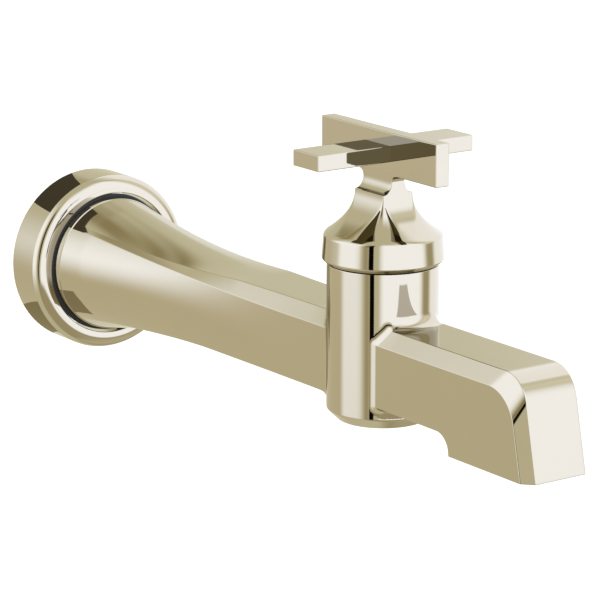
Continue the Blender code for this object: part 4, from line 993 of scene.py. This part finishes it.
# Soft boxes, flags and cards round the faucet: name, azimuth, elevation, half width, half height, softness of
# the sides and of the ends, all in degrees, and light. Azimuth 0 is in front of the outlet, -35 is the
# camera's and 180 is behind the wall; each is laid over those before it.
BOXES = [
    ("left box", -113, 16, 34, 36, 16, 18, WHITE),
    ("left box's foot", -164, -31, 36, 28, 8, 14, CLAY),
    ("front box", 3, 14, 45, 50, 9, 16, WHITE),
    ("right box", 106, 18, 34, 44, 8, 12, CREAM),
    ("shade past the right box", 153, 29, 14, 16.5, 5, 2.5, TAN),
    ("gap between the boxes", -62, 0, 17, 60, 5, 10, TAN),
    ("shade beside the flag", -69, 0, 5, 55, 4, 8, UMBER),
    ("shade above it", -65, 26, 6, 22, 3, 8, BROWN),
    ("black flag", -59, 0, 4.5, 50, 0.8, 8, BLACK),
    ("sand flag", 61, 14, 9, 34, 6, 10, SAND),
    ("brown flag", 61, -32, 9, 32, 5, 10, UMBER),
    ("floor", 35, -62, 105, 40, 20, 4, UMBER),
    ("paper in front", 70, -60, 40, 30, 20, 12, PAPER),
    ("low brown card", 157, 31, 6, 5, 6, 5, OCHRE),
    ("middle brown card", 168, 39, 9, 5, 8, 5, OCHRE),
    ("high brown card", -179, 47, 12, 5, 8, 5, OCHRE),
]


def surroundings():
    """World whose colour depends only on direction: a warm ground with soft boxes, flags and cards laid over
    it. Plain pale to the camera."""
    world = bpy.data.worlds.new("soft_boxes")
    world.use_nodes = True
    tree = world.node_tree
    background = tree.nodes["Background"]
    place = tree.nodes.new("ShaderNodeTexCoord")
    parts = tree.nodes.new("ShaderNodeSeparateXYZ")
    tree.links.new(place.outputs["Generated"], parts.inputs[0])
    azimuth = maths(tree, "ARCTAN2", parts.outputs["X"], maths(tree, "MULTIPLY", parts.outputs["Y"], -1.0))
    elevation = maths(tree, "ARCSINE", parts.outputs["Z"])
    seen = (*TAN, 1.0)
    for name, turn, rise, wide, tall, side_soft, end_soft, tint in BOXES:
        past = maths(tree, "SUBTRACT", azimuth, math.radians(turn))
        off = maths(tree, "ABSOLUTE", maths(tree, "WRAP", past, math.pi, -math.pi))
        up = maths(tree, "ABSOLUTE", maths(tree, "SUBTRACT", elevation, math.radians(rise)))
        masks = []
        for distance, half, soft in ((off, wide, side_soft), (up, tall, end_soft)):
            ramp = tree.nodes.new("ShaderNodeMapRange")
            ramp.label = name
            ramp.interpolation_type = "SMOOTHSTEP"
            ramp.inputs["From Min"].default_value = math.radians(half + soft)
            ramp.inputs["From Max"].default_value = math.radians(half - soft)
            tree.links.new(distance, ramp.inputs["Value"])
            masks.append(ramp.outputs[0])
        seen = colour_mix(tree, maths(tree, "MULTIPLY", *masks), seen, (*tint, 1.0))
    path = tree.nodes.new("ShaderNodeLightPath")
    shown = colour_mix(tree, path.outputs["Is Camera Ray"], seen, (0.96, 0.96, 0.96, 1.0))
    tree.links.new(shown, background.inputs["Color"])
    return world


class FAUCET_OT_wall_flange(bpy.types.Operator):
    """Round flange with a convex shoulder that covers the hole in the wall"""

    bl_idname = "faucet.wall_flange"
    bl_label = "Wall Flange"

    def execute(self, context):
        grid = facing_out(turned(flange_profile(context.scene.faucet_shape), 192))
        flange = closed_ring("polished_flange", grid)
        flange.visible_glossy = False
        dress(context, flange, "polished_nickel", "faucet_body", "wall_flange")
        # A real rubber seal, placed at the front of the gap between the arm and the flange's bore so that its
        # black also stands in for the shade in that gap: partly the seal, partly painted shade
        grip = closed_ring("grip_ring", wire_ring(25.2, 1.2, GRIP_RING_REACH - 0.5))
        dress(context, grip, "black_rubber", "faucet_body", "flange_grip_ring")
        return {"FINISHED"}


class FAUCET_OT_inlet(bpy.types.Operator):
    """Brass inlet shank with its pipe thread"""

    bl_idname = "faucet.inlet"
    bl_label = "Inlet Shank"

    def execute(self, context):
        shank = closed_ring("threaded_shank", shank_grid(), 25.0)
        dress(context, shank, "brass", "faucet_body", "inlet_shank")
        return {"FINISHED"}


class FAUCET_OT_arm(bpy.types.Operator):
    """Trumpet arm, round at the wall and chamfered at the valve"""

    bl_idname = "faucet.arm"
    bl_label = "Trumpet Arm"

    def execute(self, context):
        arm = closed_tube("trumpet_arm", arm_grid(context.scene.faucet_shape))
        drill(arm, (0.0, -32.0, -22.4), (0.0, 0.0, -1.0), 2.7, 9.5)
        dress(context, arm, "polished_nickel", "faucet_body", "rear_arm")
        return {"FINISHED"}


class FAUCET_OT_barrel(bpy.types.Operator):
    """Upright valve barrel"""

    bl_idname = "faucet.barrel"
    bl_label = "Valve Barrel"

    def execute(self, context):
        grid = on_valve(turned(barrel_profile(context.scene.faucet_shape), 224))
        barrel = closed_tube("polished_barrel", grid)
        dress(context, barrel, "polished_nickel", "faucet_body", "valve_barrel")
        return {"FINISHED"}


class FAUCET_OT_spout(bpy.types.Operator):
    """Chamfered spout that turns down to the outlet"""

    bl_idname = "faucet.spout"
    bl_label = "Spout"

    def execute(self, context):
        spout = closed_tube("bath_spout", spout_grid(context.scene.faucet_shape))
        dress(context, spout, "polished_nickel", "faucet_body", "front_spout")
        return {"FINISHED"}


class FAUCET_OT_handle(bpy.types.Operator):
    """Bell hub and the two bars of the cross"""

    bl_idname = "faucet.handle"
    bl_label = "Handle"

    def execute(self, context):
        hub = closed_tube("bell_hub", hub_grid(context.scene.faucet_shape))
        drill(hub, (0.0, -AXIS_REACH + 20.6, 40.7), (0.0, 1.0, 0.0), 2.2, 14.0, 0.25)
        dress(context, hub, "handle_nickel", "handle", "handle_hub")
        edge = context.scene.faucet_shape.crisp_edge / MM
        for name, node in (("bar_on_edge", "standing_bar"), ("bar_laid_flat", "flat_bar")):
            size, centre = high(node) - low(node), (high(node) + low(node)) / 2
            if size.y > size.x:
                grid = bar_grid(size.x, size.y, size.z, edge)
            else:
                grid = bar_grid(size.y, size.x, size.z, edge)[..., [1, 0, 2]]
            bar = closed_tube(name, grid + np.array(centre))
            dress(context, bar, "handle_nickel", "handle", node)
        return {"FINISHED"}


class FAUCET_OT_inner_parts(bpy.types.Operator):
    """Finishes for the solids that stay as they are"""

    bl_idname = "faucet.inner_parts"
    bl_label = "Inner Parts"

    def execute(self, context):
        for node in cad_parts.values():
            for slot in node.material_slots:
                slot.material = material(context, slot.material.name.split(".")[0])
        return {"FINISHED"}


class FAUCET_PT_panel(bpy.types.Panel):
    """Sidebar panel that lists the faucet's settings and operators"""

    bl_label = "Wall Bath Faucet"
    bl_idname = "FAUCET_PT_panel"
    bl_space_type = "VIEW_3D"
    bl_region_type = "UI"
    bl_category = "Faucet"

    def draw(self, context):
        scene = context.scene
        for group in (scene.faucet_shape, scene.faucet_finish, scene.faucet_studio):
            for label in group.__annotations__:
                self.layout.prop(group, label)
        for operator in OPERATORS:
            self.layout.operator(operator.bl_idname)


OPERATORS = (
    FAUCET_OT_studio,
    FAUCET_OT_inner_parts,
    FAUCET_OT_wall_flange,
    FAUCET_OT_inlet,
    FAUCET_OT_arm,
    FAUCET_OT_barrel,
    FAUCET_OT_spout,
    FAUCET_OT_handle,
)
SETTINGS = {"faucet_shape": FaucetShape, "faucet_finish": FaucetFinish, "faucet_studio": FaucetStudio}


def register():
    for kind in (*SETTINGS.values(), *OPERATORS, FAUCET_PT_panel):
        bpy.utils.register_class(kind)
    for name, kind in SETTINGS.items():
        setattr(bpy.types.Scene, name, bpy.props.PointerProperty(type=kind))


def unregister():
    for name in SETTINGS:
        delattr(bpy.types.Scene, name)
    for kind in (FAUCET_PT_panel, *reversed(OPERATORS), *reversed(SETTINGS.values())):
        bpy.utils.unregister_class(kind)


def main():
    register()
    bpy.ops.faucet.studio()
    bpy.ops.faucet.inner_parts()
    bpy.ops.faucet.wall_flange()
    bpy.ops.faucet.inlet()
    bpy.ops.faucet.arm()
    bpy.ops.faucet.barrel()
    bpy.ops.faucet.spout()
    bpy.ops.faucet.handle()


if __name__ == "__main__":
    main()
